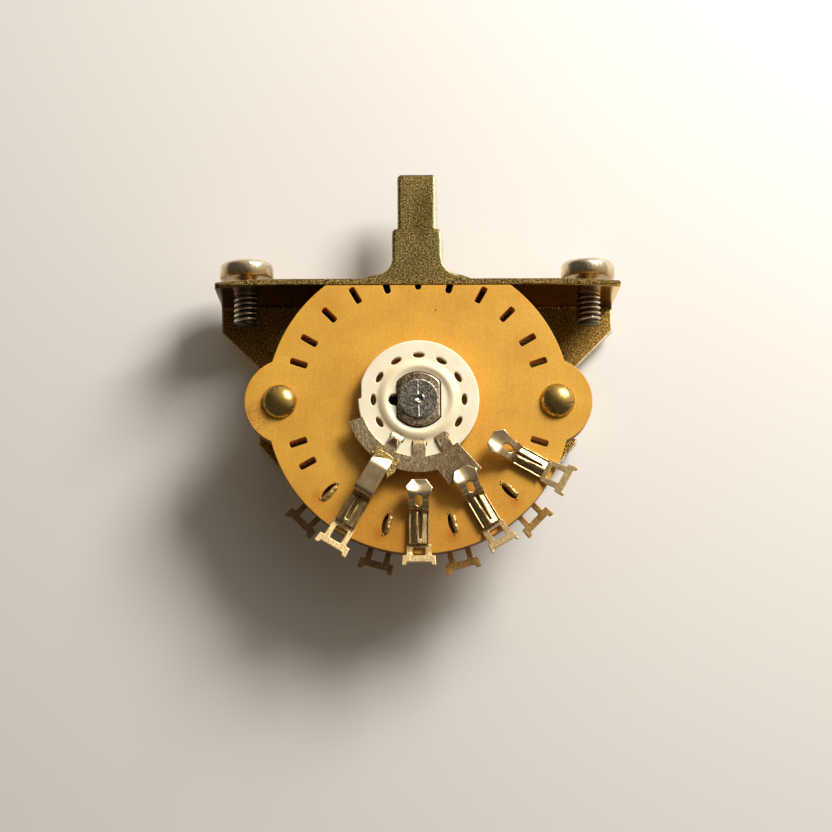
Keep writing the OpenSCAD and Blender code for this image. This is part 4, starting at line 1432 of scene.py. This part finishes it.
def shaftMesh():
    s = shaftSizes

    def noseTop(u, v):
        # groove scribed across, with raised sides, and a punched mark in the middle
        r, line = np.hypot(u, v), np.abs(u + 0.03 * v)
        groove = -0.05 * np.exp(-((line / 0.05) ** 2)) + 0.015 * np.exp(-(((line - 0.12) / 0.05) ** 2))
        rim = 0.6 + 0.6 * np.sin(3 * np.arctan2(v, u) + 0.8)
        mark = 0.07 * np.exp(-(((r - 0.48) / 0.14) ** 2)) * rim - 0.16 * np.exp(-((r / 0.3) ** 2))
        return groove * smooth01((r - 0.55) / 0.15) + mark - 0.03

    def facing(y):
        # a plate square to the shaft, h towards the viewer from y
        return lambda u, v, h: (u, y - h, axisZ + v)

    circle = arcPoints((0, 0), s["nose"], 0, 357, 120)
    inner = gridInside([circle], 0.055, 0.075, 0.2)
    nose = plate(circle, [], noseTop, -0.6, facing(s["front"]), 0.12, inner)
    outline = polar(flatted(s["body"], s["flat"]), 3)
    body = plate(outline, [], 0.0, s["bodyFront"] - 0.8, facing(s["bodyFront"]), 0.14)
    (disc, y0, y1), (r, y4), (low, y2, y3) = s["disc"], s["journal"], s["groove"]
    line = [(0, y0), (disc, y0), (disc, y1), (r, y1), (r, y2), (low, y2)]
    line += [(low, y3), (r, y3), (r, y4), (0, y4)]
    line = rounded(line, [0.2, 0.2, 0.05, 0.03, 0.03, 0.03, 0.03, 0.2], 4)
    return joined(nose, body, lathe(line, alongY(0, axisZ)))


piece("shaftNose", shaftMesh(), "dark_steel", "shaft")
print("shaft made")


# CAD parts that keep their shape

kept = {
    "retaining_ring": "spring_steel",
    "rotor_back": "nylon",
    "back_contact": "contact_metal",
    "spacer_left": "brass_spacer",
    "spacer_right": "brass_spacer",
    "detent_spring": "spring_steel",
    "spring_rivets": "nickel_screw",
}
for node, look in kept.items():
    obj = frame["nodes"][node]
    obj.data.materials.clear()
    obj.data.materials.append(paints[look])


# Camera, floor and light

cameraLook = {
    "azimuth": 0.0112,
    "elevation": -0.1763,
    "roll": -0.0059,
    "distance": 269.263,
    "focalPixels": 2245.751,
    "aim": (-0.2505, 0.0, -15.4),
}


def makeCamera():
    c = cameraLook
    level = math.cos(c["elevation"])
    forward = (math.sin(c["azimuth"]) * level, math.cos(c["azimuth"]) * level, -math.sin(c["elevation"]))
    forward = Vector(forward)
    r = forward.cross(Vector((0, 0, 1))).normalized()
    u = r.cross(forward)
    right = math.cos(c["roll"]) * r + math.sin(c["roll"]) * u
    up = math.cos(c["roll"]) * u - math.sin(c["roll"]) * r
    data = bpy.data.cameras.new("camera")
    data.sensor_width = 36
    data.lens = c["focalPixels"] / 832 * 36
    data.clip_start, data.clip_end = 0.01, 10
    camera = placed("camera", data)
    turn = Matrix((right, up, -forward)).transposed().to_4x4()
    camera.matrix_world = Matrix.Translation((Vector(c["aim"]) - forward * c["distance"]) * mm) @ turn
    bpy.context.scene.camera = camera


makeCamera()

floorLook = {"y": 7.62, "half": 600.0, "colour": (0.80, 0.785, 0.76), "cloud": (0.7, 0.69, 0.67)}


def makeFloor():
    # the table that the switch lies on, seen from in front only, so that other views see the back
    f = floorLook
    y, h = f["y"], f["half"]
    mesh = bpy.data.meshes.new("floor")
    corners = np.array([(-h, y, -h), (h, y, -h), (h, y, h), (-h, y, h)]) * mm
    mesh.from_pydata(corners.tolist(), [], [(0, 1, 2, 3)])
    floor = placed("floor", mesh)
    p = Paint("paleFloor", Roughness=0.7, Specular_IOR_Level=0.2)
    p.finish(Base_Color=p.mix(p.noise(0.03, 2, 0.5) * 0.12, f["colour"], f["cloud"]))
    unseen = p.node("NewGeometry", out="Backfacing").most(p.node("LightPath", out="Is Shadow Ray"))
    solid, clear = Wire(p, p.shader.outputs[0]), p.node("BsdfTransparent")
    p.end("Material Output", p.node("MixShader", {}, [unseen, solid, clear]))
    mesh.materials.append(p.material)


makeFloor()

# direction from the switch, distance and size in millimetres, watts, colour
lamps = {
    "key": ((0.52, -0.604, 0.604), 300, 120, 1.2, (1.0, 0.96, 0.9)),
    "rear": ((-0.35, 0.85, 0.4), 450, 260, 0.9, (1.0, 0.98, 0.96)),
}
for name, (towards, away, size, watts, colour) in lamps.items():
    data = bpy.data.lights.new(name, "AREA")
    data.size, data.energy, data.color = size * mm, watts, colour
    light = placed(name, data)
    towards = Vector(towards).normalized()
    light.location = (Vector((0, 0, -15)) + towards * away) * mm
    light.rotation_mode = "QUATERNION"
    light.rotation_quaternion = towards.to_track_quat("Z", "Y")

roomLook = {
    "towards": (0.62, -0.1, 0.78),
    "from": (0.12, 1.0),  # where the brightening starts and ends
    "strength": (0.08, 0.9),  # dim side, bright side
    "colour": (1.0, 0.88, 0.72),
}


def makeWorld():
    # dim warm room, brighter towards the upper right
    world = bpy.data.worlds.new("room")
    bpy.context.scene.world = world
    world.use_nodes = True
    p = NodeTree(world.node_tree)
    ends = [p.node("TexCoord", out="Generated"), Vector(roomLook["towards"]).normalized()]
    dot = p.node("VectorMath", {"operation": "DOT_PRODUCT"}, ends, out="Value")
    (start, full), (dim, bright) = roomLook["from"], roomLook["strength"]
    ramp = {"Value": dot, "From Min": start, "From Max": full, "To Min": dim, "To Max": bright}
    room = p.tree.nodes["Background"]
    room.inputs["Color"].default_value = (*roomLook["colour"], 1)
    p.tree.links.new(p.node("MapRange", {}, ramp).socket, room.inputs["Strength"])
    # the camera sees a plain pale background past the floor's end
    pale = p.node("Background", {}, {"Color": (*floorLook["colour"], 1)})
    seen = p.node("LightPath", out="Is Camera Ray")
    p.end("World Output", p.node("MixShader", {}, [seen, Wire(p, room.outputs[0]), pale]))


makeWorld()
bpy.context.scene.view_settings.view_transform = "Standard"
print("camera and light made")
